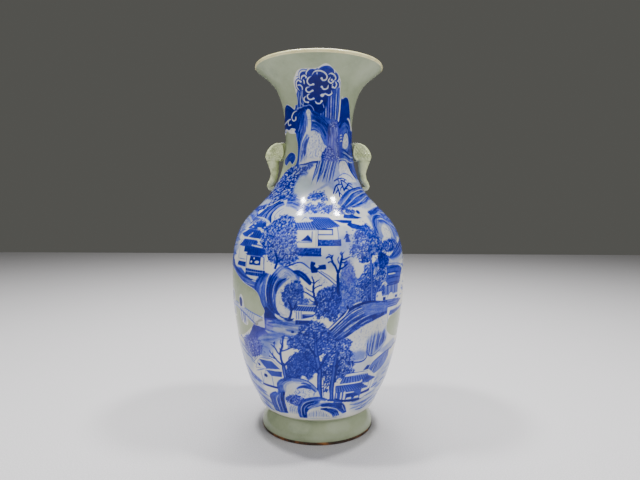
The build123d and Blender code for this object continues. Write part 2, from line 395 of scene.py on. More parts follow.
def plinth(p, corners, tone, joints):
    """A stone plinth: two dark bands with a pale line between, and joints."""
    p.fill(corners, tone)
    p.bar([quad(corners, 0, 0.5), quad(corners, 1, 0.5)], 0.9, 0.2)
    for i in range(1, joints):
        u = i / joints
        p.bar([quad(corners, u, 0.1), quad(corners, u, 0.9)], 0.6, 0.35)
    p.bar([quad(corners, 0, 1), quad(corners, 1, 1)], 1.3, 0.03)
    p.stroke([quad(corners, 0, 0), quad(corners, 1, 0)], 0.9, 0.9, ends=(0.8, 0.5))


def curl(p, centre, size, turn, hand, width, tone, sweep):
    """A spiral that starts at an angle, turns left or right over a sweep in degrees, and ends in a blob."""
    a, z = centre
    k = wall_radius(z) * pi / 180
    path = []
    for i in range(9):
        t = i / 8
        r = size * (1 - 0.72 * t)
        angle = radians(turn + hand * sweep * t)
        path.append((a + r * cos(angle) / k, z + r * sin(angle)))
    p.stroke(path, width, tone, ends=(0.35, 0.9))


def streaks(p, outline, count, length, width, tone, slope=0.0):
    """Thin level washes and lines of ground or water."""
    for a, z in p.scatter(outline, 4.0)[:count]:
        k = wall_radius(z) * pi / 180
        half = length * p.rng.uniform(0.4, 1.0) / 2
        sag = p.rng.uniform(-1.5, 1.5)
        tilt = half * slope
        path = [(a - half / k, z - tilt), (a, z + sag), (a + half / k, z + tilt)]
        p.stroke(path, width * p.rng.uniform(0.5, 1.3), p.rng.uniform(*tone), ends=(0.1, 0.1), soft=1.2,
                 dry=0.3)


def figure(p, foot, height):
    """A tiny walker in a robe, with a plain round head."""
    tone = 0.9
    a, z = foot
    k = wall_radius(z) * pi / 180
    w = height * 0.17 / k
    p.fill([(a - w, z), (a + w, z), (a + w * 0.7, z + height * 0.75), (a - w * 0.7, z + height * 0.75)],
           tone)
    p.dab(a, z + height * 0.88, height * 0.22, height * 0.2, 0, 0.5)
    p.stroke([(a - w * 1.6, z + height * 0.45), (a, z + height * 0.66), (a + w * 1.8, z + height * 0.5)],
             1.3, tone)


def hatch(p, first, second, count, tone, width, part=0.4):
    """Thin strokes of random length and tone that run with a form, between its two edge paths."""
    for share, start, dark, size in p.rng.random((count, 4)):
        line = smooth(between_paths(first, second, share), 2.0)
        low = int(start * (1 - part) * len(line))
        piece = line[low : low + max(int(part * len(line)), 3)]
        few = piece[:: max(len(piece) // 4, 1)]
        shade = tone[0] + (tone[1] - tone[0]) * dark
        p.stroke(few, width * (0.6 + 0.8 * size), shade, (0.2, 0.2), 0.85, dry=0.3)


def veil(p, first, second, tone, count, dry, jitter, lines=2.2):
    """Shading that runs with a form: soft strokes side by side from a dark edge path to a pale one."""
    gap = max(spacing(first[len(first) // 2], second[len(second) // 2]) / count, 1.0)
    for i in range(count + 1):
        share = i / count
        dark = tone[0] + (tone[1] - tone[0]) * share + p.rng.uniform(-jitter, jitter)
        path = between_paths(first, second, share)
        p.stroke(path, gap * 1.7, min(max(dark, 0), 1), (0.6, 0.4), soft=1.4, dry=dry)
    deep, pale = max(tone), min(tone)
    hatch(p, first, second, int(lines * count), (min(deep + 0.1, 1.0), max(deep - 0.15, 0.0)), 1.1)
    hatch(p, first, second, int(lines * count * 0.7), (max(pale - 0.25, 0.05), pale), 0.9)


def veils(p, rows, dry, jitter):
    """Veils of one style, each a row of its two edge paths, its tones and its count of strokes."""
    for first, second, tone, count in rows:
        veil(p, first, second, tone, count, dry, jitter)


def scroll(p, path, width=2.1, blob=3.5):
    """A white cloud scroll: a hooked stroke that ends in a round blob."""
    tone = 0.02
    p.stroke(path, width + 1.8, 1.0, ends=(0.6, 1.0))
    p.stroke(path, width, tone, ends=(0.3, 1.0))
    p.dab(*path[-1], blob, blob * 0.9, 0.0, tone)


def fringe(p, outline, gap, stray, spread, length, width, lean, tone):
    """Dabs strewn along an outline, off it by a random stray times the spread in degrees and in mm."""
    edge = smooth(outline, gap, closed=True)
    p.dabs(edge + p.rng.normal(0, stray, edge.shape) * spread, length, width, lean, tone)


def leaves(p, outline, gap, ground, dark=(0.82, 1.0), light=(0.08, 0.4), size=2.8, lean=ANY_LEAN,
           specks=1.55, violet=None, ragged=2.2):
    """Leaves: a ragged mottled ground under crowded dark dabs, pale gaps, and stray dabs past the edge."""
    p.fill(outline, ground, soft=2.0, round_=True, mottle=0.4, cover=0.92, violet=violet,
           rough=ragged * 1.4)
    p.dabs(p.scatter(outline, gap * 1.5), size * 1.5, size * 0.7, lean, (ground + 0.06, ground + 0.2))
    p.dabs(p.scatter(outline, gap), size, size * 0.46, lean, dark)
    p.dabs(p.scatter(outline, gap * specks * 1.08), size * 0.88, size * 0.42, lean,
           (light[0] * 0.5, light[1] * 0.85))
    fringe(p, outline, 1.9, ragged, [0.45, 0.9], size * 0.85, size * 0.42, lean, (0.7, 0.98))


def hamlet(p):
    """Two gabled houses by the left edge, with round windows."""
    wall(p, [(-49, 117), (-37, 120), (-37.5, 122), (-44, 131.5)], line=0.5)
    p.fill([(-37, 120.5), (-25.5, 124), (-31.5, 134.5), (-43.5, 133.5)], 0.78, mottle=0.2)
    p.stroke([(-51, 124), (-45, 134), (-43, 136.5)], 1.0, 0.55)
    p.stroke([(-43.5, 136), (-38, 137), (-31.5, 138), (-28, 132), (-25, 126.5)], 1.0, 0.6)
    p.bar([(-37, 119), (-25.5, 122.2)], 2.0, 0.04)
    p.stroke([(-49, 112), (-44, 115.5), (-39, 119)], 1.6, 0.5)
    wall(p, [(-43.8, 94), (-33.5, 94), (-33.6, 110), (-38.5, 118)], line=0.35)
    p.fill([(-33.8, 110.5), (-25, 111.5), (-24.5, 120.5), (-38, 118.5)], 0.8, mottle=0.2)
    p.fill([(-33.2, 94.5), (-27, 94.5), (-26, 110), (-33.4, 109.5)], 0.03)
    p.bar([(-33.4, 94), (-33.4, 109.5)], 1.4, 0.4)
    p.bar([(-43.6, 94), (-43.8, 112)], 1.8, 0.35)
    p.dab(-43.9, 124.4, 5.6, 4.2, -0.3, 0.92)
    p.dab(-39.3, 108.8, 7.0, 5.4, 0.1, 0.95)
    p.stroke([(-44.5, 92.6), (-37, 92.2), (-29.5, 92.2)], 3.6, 0.9, ends=(0.8, 0.9), violet=0.5)


def stippled_canopy(p, outline, gap):
    """Leaves as a fine stipple: dark ground with many pale upright specks."""
    p.fill(outline, 0.9, soft=1.2, round_=True, mottle=0.2, rough=2.4)
    p.dabs(p.scatter(outline, gap * 2.4), 5.0, 2.6, (20, 160), (0.62, 0.8), cover=0.8)
    p.dabs(p.scatter(outline, gap * 1.25), 2.3, 0.85, (50, 110), (0.05, 0.38))
    p.dabs(p.scatter(outline, gap * 1.2), 2.2, 1.2, (50, 120), (0.86, 1.0))
    fringe(p, outline, 1.8, 1.6, [0.5, 1.0], 2.4, 1.2, ANY_LEAN, (0.7, 0.95))


def curly_canopy(p, outline, gap):
    """Leaves as short curls of white left in a dark ground."""
    p.fill(outline, 0.93, soft=1.2, round_=True, mottle=0.15, rough=2.4)
    p.dabs(p.scatter(outline, gap * 2), 5.0, 3.0, (20, 160), (0.66, 0.8), cover=0.8)
    for a, z in p.scatter(outline, gap * 1.05):
        size = p.rng.uniform(0.9, 1.7)
        turn = p.rng.uniform(0, 360)
        curl(p, (a, z), size, turn, p.rng.choice([-1, 1]), 0.8, p.rng.uniform(0.05, 0.3), 200)
    p.dabs(p.scatter(outline, gap * 0.9), 2.2, 1.1, ANY_LEAN, (0.85, 1.0))
    fringe(p, outline, 1.8, 1.6, [0.5, 1.0], 2.6, 1.3, ANY_LEAN, (0.7, 0.98))


def bare_tree_left(p):
    """The leafless tree behind the hamlet."""
    tone, ends = 0.84, (1, 0.5)
    p.stroke([(-22, 111), (-22.5, 122), (-22.8, 133)], 6.6, tone, ends=(1, 0.8))
    p.stroke([(-22.4, 112), (-22.7, 122), (-22.6, 131)], 2.0, 0.5, ends=(1, 0.5))
    limbs = [
        ([(-23, 131), (-24, 142), (-23.8, 152), (-22.3, 160), (-21.8, 168), (-20.6, 176)], 3.6),
        ([(-23.4, 131), (-26.5, 136), (-29, 142), (-31.5, 148), (-32.2, 151)], 2.6),
        ([(-22, 131), (-20, 136), (-17.5, 141), (-15.5, 147), (-13.5, 153)], 2.9),
        ([(-24, 146), (-26, 150), (-27.5, 156), (-30.5, 161)], 2.4),
        ([(-22.8, 153), (-19.5, 156), (-16.5, 159.5), (-13.8, 162)], 2.0),
        ([(-18.6, 139), (-18.2, 144), (-16.4, 148)], 1.6),
        ([(-27.8, 140), (-30.4, 140.5), (-32.8, 142)], 1.6),
        ([(-27.2, 154), (-28, 159), (-27.6, 164)], 1.5),
        ([(-22.2, 161), (-23.4, 165), (-23, 170)], 1.4),
        ([(-21.6, 169), (-21.9, 174)], 1.4),
        ([(-18.5, 157), (-18.4, 161)], 1.2),
        ([(-24.6, 149), (-24, 154), (-24.6, 157)], 1.3),
        ([(-29.8, 145), (-29.6, 150)], 1.2),
    ]
    for path, width in limbs:
        p.stroke(path, width, tone, ends=ends)
    for a, z in [(-20.6, 176), (-21.9, 174.5), (-27.6, 165), (-28.3, 163.5), (-32.8, 142)]:
        p.dab(a, z, 3.0, 2.2, 0.8, 0.9)


def left_rock(p):
    """The layered rock at the lower left."""
    body = [(-41, 49), (-41.5, 62), (-40.5, 74), (-37, 80), (-32.5, 85), (-29.5, 93), (-28, 101),
            (-24, 108), (-19, 112.5), (-12, 112.8), (-6, 108.5), (-2, 101), (0.5, 94), (2, 84), (1, 76),
            (-10, 76), (-24, 60), (-27, 49)]
    p.fill(body, 0.1)
    veils(p, [
        ([(-41, 48), (-41.6, 62), (-40.6, 73), (-37, 80), (-33.6, 84)],
         [(-35.6, 47.5), (-36, 60), (-35.4, 70), (-33, 77), (-30.6, 82)], (0.7, 0.85), 4),
        ([(-35, 47.5), (-35.4, 60), (-34.6, 71), (-31.6, 80), (-29.6, 90)],
         [(-27.4, 50), (-27.8, 62), (-27, 74), (-26, 83), (-24.6, 90)], (0.55, 0.95), 5),
        ([(-30, 90), (-29.4, 99), (-26.4, 106), (-20.6, 111.4), (-14, 112.4)],
         [(-24, 88), (-23.6, 96), (-21.6, 102), (-17.6, 106), (-13, 107)], (0.9, 0.4), 5),
        ([(-18, 112), (-11.6, 112.4), (-6, 108.4), (-2, 101), (0.4, 94)],
         [(-15, 105), (-10.6, 105), (-7, 102), (-4, 97.6), (-2, 92)], (0.5, 0.25), 5),
        ([(-14.6, 96), (-12, 99.6), (-8.6, 101.6), (-5, 100), (-1, 92.6)],
         [(-13.6, 93.4), (-11.4, 96.6), (-8.6, 98), (-6, 97), (-3, 92.4)], (0.96, 0.85), 2),
    ], 0.35, 0.14)
    p.strokes([
        ([(-41.4, 52), (-41.6, 63), (-40.4, 73.6), (-37, 80), (-32.8, 85)], 1.2, 0.9),
        ([(-35.4, 50), (-35.6, 62), (-34.4, 72), (-31.4, 80)], 1.3, 0.15),
        ([(-31.6, 50), (-31.6, 64), (-30.6, 75), (-29, 84)], 1.1, 0.2),
        ([(-25, 90), (-24.4, 98), (-21.4, 104), (-17, 107.4)], 1.2, 0.2),
        ([(-20, 112.4), (-13, 113), (-7, 109.6), (-2.8, 103), (0, 96)], 1.4, 0.9),
        ([(-11, 105.4), (-7.6, 105), (-4.4, 102.4)], 2.2, 0.85),
        ([(-26.4, 52), (-26.2, 68), (-25, 80), (-22, 90), (-18.6, 96)], 2.2, 0.04),
    ], ends=(0.6, 0.5), dry=0.15)
    p.fill([(-25, 52), (-24.6, 70), (-22, 84), (-17, 94), (-10, 98), (-4, 96), (0, 88), (-6, 84), (-14, 78),
            (-20, 66), (-22, 52)], 0.06, soft=1.5)
    dots(p, [(-19, 83), (-16, 93), (-9, 97), (-3, 94), (0, 87), (-8, 84)], 1.9, (0.35, 0.8), 3.0, 0.9,
         (60, 110))
    leaves(p, [(-25.4, 72), (-22.6, 81), (-15, 84), (-10, 79), (-12.6, 69), (-18, 66)], 1.7, 0.45, size=2.8,
           violet=0.4, ragged=1.6)
    for i in range(12):
        a = -25.6 + i * 1.0
        p.stroke([(a, 49.5), (a + 1.2, 58), (a + 4.0, 67)], 1.1, 0.3 + 0.2 * (i % 2), dry=0.3)


def front_rock(p):
    """The hollow rock at the front of the foot."""
    p.fill([(-17, 45), (-16.5, 60), (-14, 72), (-9, 80), (-2, 84), (5, 82), (9, 74), (20, 70), (24, 60),
            (27, 50), (24, 46), (14, 44.5)], 0.08)
    veils(p, [
        ([(-15.4, 45), (-16.2, 56), (-14.8, 66), (-11.6, 75), (-6, 80.6), (1, 83), (7, 80)],
         [(-12, 46), (-12.6, 56), (-11.4, 65), (-8.6, 71), (-3.4, 76), (2, 78), (6, 76.6)], (0.88, 0.6), 4),
        ([(-12, 45.4), (-12.4, 56), (-11.2, 64), (-8, 70.6), (-3.4, 75), (2, 76.6)],
         [(-8.8, 46), (-9, 54), (-8.4, 59.6), (-6, 63.4), (-3, 65.6), (0.6, 66.6)], (0.92, 0.98), 4),
        ([(-8, 63), (-4.6, 67.4), (0, 70.4), (5, 73), (9.6, 74.6)],
         [(-6, 62), (-3, 65), (0.6, 67), (5, 68.6), (9, 69)], (0.3, 0.5), 3),
        ([(3.4, 69.6), (8, 70.8), (14, 70.4), (19.6, 68.4), (22.8, 62.6), (26, 52)],
         [(4, 66.6), (8, 66.4), (13, 64), (17.4, 60), (20, 56), (23, 50.6)], (0.95, 0.75), 4),
        ([(3.2, 61.6), (7, 62), (12, 60.4), (16.6, 56), (19.4, 48)],
         [(4.4, 59.4), (8, 57.4), (11, 54.4), (13, 50.6), (14.6, 46)], (0.95, 0.7), 3),
    ], 0.3, 0.1)
    p.strokes([
        ([(-13.6, 48), (-13.8, 58), (-12.4, 66), (-9, 73.4), (-3, 78)], 1.0, 0.15),
        ([(-10.6, 50), (-11, 58), (-9.8, 64.4), (-6.6, 70), (-2, 73)], 0.9, 0.2),
        ([(20.6, 66), (22, 61), (24.4, 54)], 1.0, 0.12),
        ([(8, 63.4), (14, 61.6), (18, 56.6), (20.4, 49)], 1.3, 0.12),
        ([(3, 64), (8, 65), (13, 62.6)], 1.2, 0.1),
    ], ends=(0.7, 0.4))
    hollow = [(-8.8, 44.5), (-8.8, 55), (-6, 60), (-1, 62), (5, 59.6), (10, 54.6), (13.2, 49.4), (14, 44.5)]
    p.fill(hollow, 0.04, soft=1.2)
    for i in range(14):
        a = -7.6 + i * 1.45
        top = 60.6 - 0.12 * (a - 0.3) ** 2
        p.stroke([(a, 46), (a - 0.3, (46 + top) / 2), (a + 0.2, top)], 1.5, 0.3 + 0.16 * (i % 2),
                 ends=(0.3, 0.2), dry=0.3)
    p.stroke([(-15.4, 44), (0, 43.4), (14, 43.6), (26.5, 46)], 0.9, 0.4)


def waterside_pavilion(p):
    """The pavilion with two tiled roofs at the lower right."""
    p.fill([(13, 72), (14, 104), (20, 118), (38, 120), (48, 104), (44, 80), (36, 72)], 0.05)
    p.stroke([(20, 119), (30, 119), (37, 118)], 1.4, 0.7)
    p.bar([(22, 116), (36.6, 116.2)], 2.4, 0.03)
    upper = [(16, 104.6), (43, 98.5), (36.8, 114), (18, 113.6)]
    roof(p, upper, tiles=11, tone=0.94, base=0.54, ridge=0.5, eave=0.5)
    p.fill([(33.5, 104.6), (40, 98), (47, 103.5), (38, 111)], 0.76, mottle=0.2)
    for i in range(7):
        p.stroke([(34.5 + i * 1.8, 110 - i * 1.0), (37.6 + i * 1.5, 102.4 - i * 0.2)], 1.0, 0.93)
    p.stroke([(13.6, 103.8), (15.6, 102.2), (24, 102), (32, 102.2), (32.8, 104.6)], 2.8, 0.03,
             ends=(0.6, 0.9))
    roof(p, [(13.4, 90.6), (40.6, 90.4), (32.4, 100.4), (13, 100.4)], tiles=13, tone=0.94, base=0.52,
         ridge=0.3, eave=0.5)
    p.fill([(36, 95.5), (40.4, 97), (40.2, 92.6)], 0.03)
    wall(p, [(40.6, 86.5), (43.6, 86), (43.4, 101), (40.8, 99.6)], line=0.5)
    p.fill([(35, 79.8), (44.4, 81.4), (43.6, 89), (42.8, 86.4), (35, 84.6)], 0.88, violet=0.3)
    p.bar([(35.2, 85.6), (38, 86.4), (41.2, 87.6)], 3.0, 0.04)
    p.fill([(12.6, 73), (35, 72), (35, 89.6), (13, 89.8)], 0.66)
    for a, wide in [(14.4, 1.2), (17.9, 2.2), (20.6, 3.2)]:
        p.bar([(a, 75.5), (a - 0.2, 88.6)], wide, 0.05)
    p.stroke([(20, 87.2), (28, 87.2)], 2.0, 0.05, ends=(1, 0.8))
    p.fill([(22.2, 79.6), (25.6, 80.2), (25.6, 85.2), (22.2, 85.2)], 0.93)
    p.fill([(26.4, 79), (33.6, 79), (33.6, 81), (29, 85), (26.4, 85)], 0.8)
    p.stroke([(25.4, 84.6), (29.6, 76)], 1.6, 0.92, ends=(0.8, 0.8))
    for low, high in [(22, 27.4), (29, 34.2)]:
        p.fill([(low, 75.6), (high, 75.2), (high - 0.8, 78.8), (low + 1.4, 78.8)], 0.04)
    p.stroke([(13.6, 79.5), (17, 75.6), (23, 73), (30, 71.6), (35, 71.8)], 3.8, 0.93, ends=(0.4, 1))
    p.stroke([(6, 78.5), (11, 77), (16, 74.5), (20, 71.4)], 3.4, 0.75, ends=(0.3, 0.4))


def tall_trunk(p, path, width):
    """A trunk washed darker at its sides than in the middle."""
    p.stroke(path, width, 0.94, ends=(1, 0.3))
    p.stroke(shifted(path, -0.1, 0), width * 0.52, 0.6, ends=(1, 0.1), soft=1.6)
    p.stroke(shifted(path, 0.8, 0), width * 0.14, 0.85, ends=(0.6, 0.1))


def centre_trees(p):
    """The two tall trees at the front, with their stippled and curly leaves."""
    stippled_canopy(p, [(-21, 113), (-21.6, 122), (-20, 134), (-16.6, 140), (-15, 149), (-10, 155),
                        (-4, 155), (-1, 146), (0, 130), (-2, 121), (-6, 111), (-9.6, 118), (-14, 111)], 1.9)
    leaves(p, [(-18, 162), (-18.5, 173), (-14, 176), (-11.4, 184), (-10, 191), (-6, 196), (-2, 199),
               (3, 196), (5.6, 187), (8.6, 178), (10.4, 170), (13, 163), (9, 155), (-2, 149), (-9, 152),
               (-12, 158)], 1.8, 0.66, size=3.0, lean=(-20, 60), ragged=2.6)
    curly_canopy(p, [(2.5, 118), (2.6, 132), (3.4, 146), (7, 156), (11, 168), (16, 174), (21, 168),
                     (20, 158), (23, 150), (21.6, 142), (24.6, 135), (23.6, 126), (26, 117), (20, 110),
                     (15, 114), (11, 108)], 2.5)
    p.fill([(3.8, 82), (8.2, 82), (8.4, 98), (7, 112), (4.6, 112), (4, 98)], 0.05)
    p.dabs(p.scatter([(4.2, 94), (8, 94), (8.2, 112), (4.2, 112)], 2.4), 4.2, 1.8, (20, 160), (0.7, 0.95))
    tall_trunk(p, [(2.2, 79), (1.6, 96), (1.4, 112), (1.6, 124), (0.4, 138), (-0.8, 152), (-1, 166),
                   (-1.2, 182)], 7.0)
    tall_trunk(p, [(10.8, 78), (10.2, 94), (10.4, 108), (10.8, 122), (11.2, 136), (12, 150), (12.6, 158)],
               6.0)
    for path, width in [
        ([(0.8, 128), (3, 137), (5.4, 147), (7, 153)], 3.0),
        ([(11.4, 132), (14, 140), (17, 147)], 2.4),
        ([(-0.8, 148), (-4, 158), (-6.4, 168)], 2.6),
        ([(0.8, 122), (-2, 130), (-4.6, 136)], 2.0),
        ([(-1, 170), (2, 178), (3, 186)], 1.8),
    ]:
        p.stroke(path, width, 0.92, ends=(1, 0.3))
    p.stroke([(3.6, 116), (4.6, 104), (4.2, 92), (5, 82)], 1.2, 0.85)
    p.stroke([(9.8, 118), (8.6, 104), (8.4, 90)], 1.2, 0.85)
    p.stroke([(-2, 79), (2, 77.4), (8, 77), (13, 77.6)], 3.0, 0.9, ends=(0.3, 0.3))


def dotted_hill(p):
    """The big pale hill at the right with its dark ridge and shaded side."""
    p.fill([(17, 173), (21, 187), (29, 196), (37, 201), (46, 204), (49.5, 196), (50, 176), (48, 160),
            (44, 148), (38, 141), (33.5, 140), (31, 135), (22, 135), (20, 146), (21, 160)], 0.05,
           round_=True)
    dots(p, [(22, 180), (30, 192), (46, 198), (49, 180), (46, 166), (34, 172), (30, 150), (23, 150),
             (21, 165)], 3.0, (0.3, 0.62), 2.6, 0.9, (75, 125))
    p.fill([(20.5, 137), (32.5, 137.5), (33, 150), (28, 154), (22, 152)], 0.42, soft=6, mottle=0.3)
    p.stroke([(20.5, 136.6), (26, 135.4), (31, 135.8), (33.4, 139.6), (33.8, 144)], 2.0, 0.9,
             ends=(0.5, 0.7))
    side = [(32.4, 164), (33.4, 170), (37, 174), (42, 175), (49.5, 173), (50.5, 163), (48.5, 154),
            (44, 146), (38.5, 141), (34.6, 143.5), (33.4, 152)]
    p.fill(side, 0.46, round_=True, mottle=0.4, soft=7)
    for i in range(34):
        a = 33.4 + i * 0.5
        low = 143 + max(0, a - 38) * 1.4
        high = 166 + p.rng.uniform(0, 18)
        p.stroke([(a + 0.4, high), (a - 0.2, 160), (a - 0.5, low)], 1.4,
                 p.rng.choice([0.2, 0.5, 0.76, 0.92]), ends=(0.0, 0.5), dry=0.4)
    p.stroke([(32.6, 166), (33.4, 152), (34.8, 144), (38.6, 141), (44, 146), (48.6, 154)], 1.2, 0.9)
    top = [(5.6, 183), (11.6, 198), (17.6, 211), (24, 219), (33, 222), (47, 219)]
    foot = [(12, 170.5), (17, 178), (23, 187), (31, 195.5), (39, 200), (47.6, 203)]
    veil(p, top, foot, (0.9, 0.86), 7, 0.35, 0.16, lines=4)
    hatch(p, top, foot, 16, (0.05, 0.3), 1.2, 0.3)
    for share in (0.18, 0.45, 0.72):
        p.stroke(between_paths(top, foot, share), 1.4, 0.14, ends=(0.6, 0.1), dry=0.5)
    veil(p, [(27, 218), (35, 220), (48, 217)], [(30, 206), (38, 208), (48, 207)], (0.5, 0.62), 4, 0.4, 0.16)
    p.stroke([(12, 198), (18, 211), (24.6, 219.4), (33, 222.4), (46, 220)], 1.4, 0.95)
    p.stroke([(5, 184), (8, 190), (12, 199), (16, 208), (18, 215)], 2.0, 0.04, ends=(0.7, 0.8))
    p.stroke([(4.4, 185), (7.5, 192), (11.4, 201)], 0.9, 0.7)
    p.stroke([(48, 171), (49.8, 182), (49.4, 194), (47.6, 203)], 1.2, 0.5)


def hanging_rock(p):
    """The striped rock beside the pavilion, with pale banks behind."""
    p.fill([(44, 146), (52, 152), (62, 158), (66, 152), (62, 143), (52, 140)], 0.34, soft=3, round_=True,
           mottle=0.4)
    first = [(37.6, 121), (40, 129), (44.6, 135), (51, 140), (58, 143)]
    second = [(41, 108), (46, 111), (51, 114.6), (55.6, 121), (59, 131)]
    p.fill(first + second[::-1], 0.55, mottle=0.2)
    for i in range(15):
        a, z = 38.4 + i * 1.35, 120 + i * 1.6
        p.stroke([(a - 1.6, z - 13 + 0.2 * i), (a - 0.2, z - 4), (a + 2.2, z + 3)], 1.6,
                 [0.94, 0.5, 0.82, 0.25][i % 4], ends=(0.4, 0.3), dry=0.25)
    p.stroke(first + [(66, 144)], 1.4, 0.9)
    p.fill([(32.4, 120.4), (35.4, 127.4), (38.2, 127), (37, 121)], 0.86)
    p.stroke([(60, 141), (66, 147), (72, 147.6), (80, 144)], 3.6, 0.85, ends=(0.3, 0.3), soft=2)
    p.fill([(46, 88), (48, 108), (60, 124), (74, 130), (80, 110), (74, 92), (58, 84)], 0.3, soft=8,
           round_=True, mottle=0.5)
    streaks(p, [(44, 86), (46, 104), (62, 118), (78, 122), (78, 88), (56, 78)], 26, 26, 2.4, (0.35, 0.72),
            slope=0.25)
    p.fill([(30, 56), (34, 72), (60, 84), (76, 76), (62, 52), (40, 47)], 0.24, soft=8, round_=True,
           mottle=0.6)
    streaks(p, [(28, 60), (32, 74), (60, 80), (74, 70), (60, 52), (36, 50)], 24, 30, 2.2, (0.3, 0.72),
            slope=0.15)
    p.stroke([(28, 64.5), (36, 62.6), (46, 64.6), (58, 69.5)], 4.4, 0.55, soft=2.2, dry=0.3)
    p.stroke([(36, 51.5), (44, 51), (52, 53.5)], 1.6, 0.8, soft=1.0)


def lower_left_ground(p):
    """Shore, washes and a violet tree at the lower left."""
    p.fill([(-52, 163), (-49, 170), (-46, 178), (-45, 186), (-41, 191), (-36, 196), (-34, 201), (-25, 200),
            (-30, 196), (-27.6, 190), (-28, 184), (-34, 181), (-31, 176), (-36, 172), (-40, 168),
            (-42, 162), (-50, 158)], 0.82, mottle=0.12, violet=0.7, soft=1.4)
    p.fill([(-40, 140), (-42, 166), (-30, 182), (-20, 184), (-24, 166), (-30, 150), (-34, 138)], 0.42,
           soft=8, round_=True, mottle=0.4)
    p.fill([(-32, 182), (-30, 200), (-12, 200), (-12, 186)], 0.22, soft=5, round_=True, mottle=0.4)
    streaks(p, [(-38, 152), (-30, 178), (-30, 198), (-14, 199), (-12, 180), (-24, 170), (-34, 150)], 44, 30,
            2.6, (0.3, 0.66), slope=-0.1)
    p.strokes([
        ([(-31, 193), (-24, 194.6), (-15, 191.6)], 4.0, 0.72),
        ([(-31, 198.4), (-26, 199), (-21, 198)], 2.6, 0.85),
        ([(-36, 172), (-28, 176), (-21, 177)], 3.4, 0.55),
        ([(-38, 165), (-31, 168), (-25, 172)], 3.4, 0.6),
    ], soft=2, dry=0.3)
    leaves(p,
           [(-58, 140), (-59, 156), (-52, 166), (-42, 165), (-38, 156), (-40, 144), (-46, 136), (-52, 133)],
           2.1, 0.6, (0.65, 0.92), (0.15, 0.45), 3.2, violet=0.8)
    p.stroke([(-90, 152), (-74, 160), (-64, 160.5), (-57, 153)], 3.6, 0.75, soft=1.6, dry=0.2)
    p.fill([(-90, 108), (-86, 146), (-68, 152), (-58, 146), (-50, 134), (-54, 112), (-66, 104)], 0.24,
           soft=8, round_=True, mottle=0.5)
    streaks(p, [(-88, 110), (-84, 148), (-58, 148), (-48, 134), (-52, 118), (-62, 106)], 44, 26, 2.6,
            (0.35, 0.75), slope=-0.45)
    p.fill([(-90, 46), (-88, 100), (-66, 104), (-52, 98), (-46, 84), (-44, 60), (-44, 46)], 0.26, soft=8,
           round_=True, mottle=0.5)
    streaks(p, [(-88, 50), (-86, 104), (-54, 106), (-46, 98), (-48, 84), (-46, 66), (-44, 50)], 60, 34, 2.8,
            (0.3, 0.7), slope=-0.3)
    p.strokes([
        ([(-66, 112), (-59, 104), (-52, 97), (-46, 95)], 7.0, 0.72),
        ([(-66, 90), (-58, 84), (-50, 80), (-44, 78)], 5.0, 0.75),
        ([(-66, 74), (-58, 69), (-50, 63), (-44, 58)], 7.0, 0.66),
        ([(-60, 54), (-52, 49.4), (-44, 46)], 3.4, 0.8),
    ], ends=(0.2, 0.2), soft=2.6, dry=0.35)


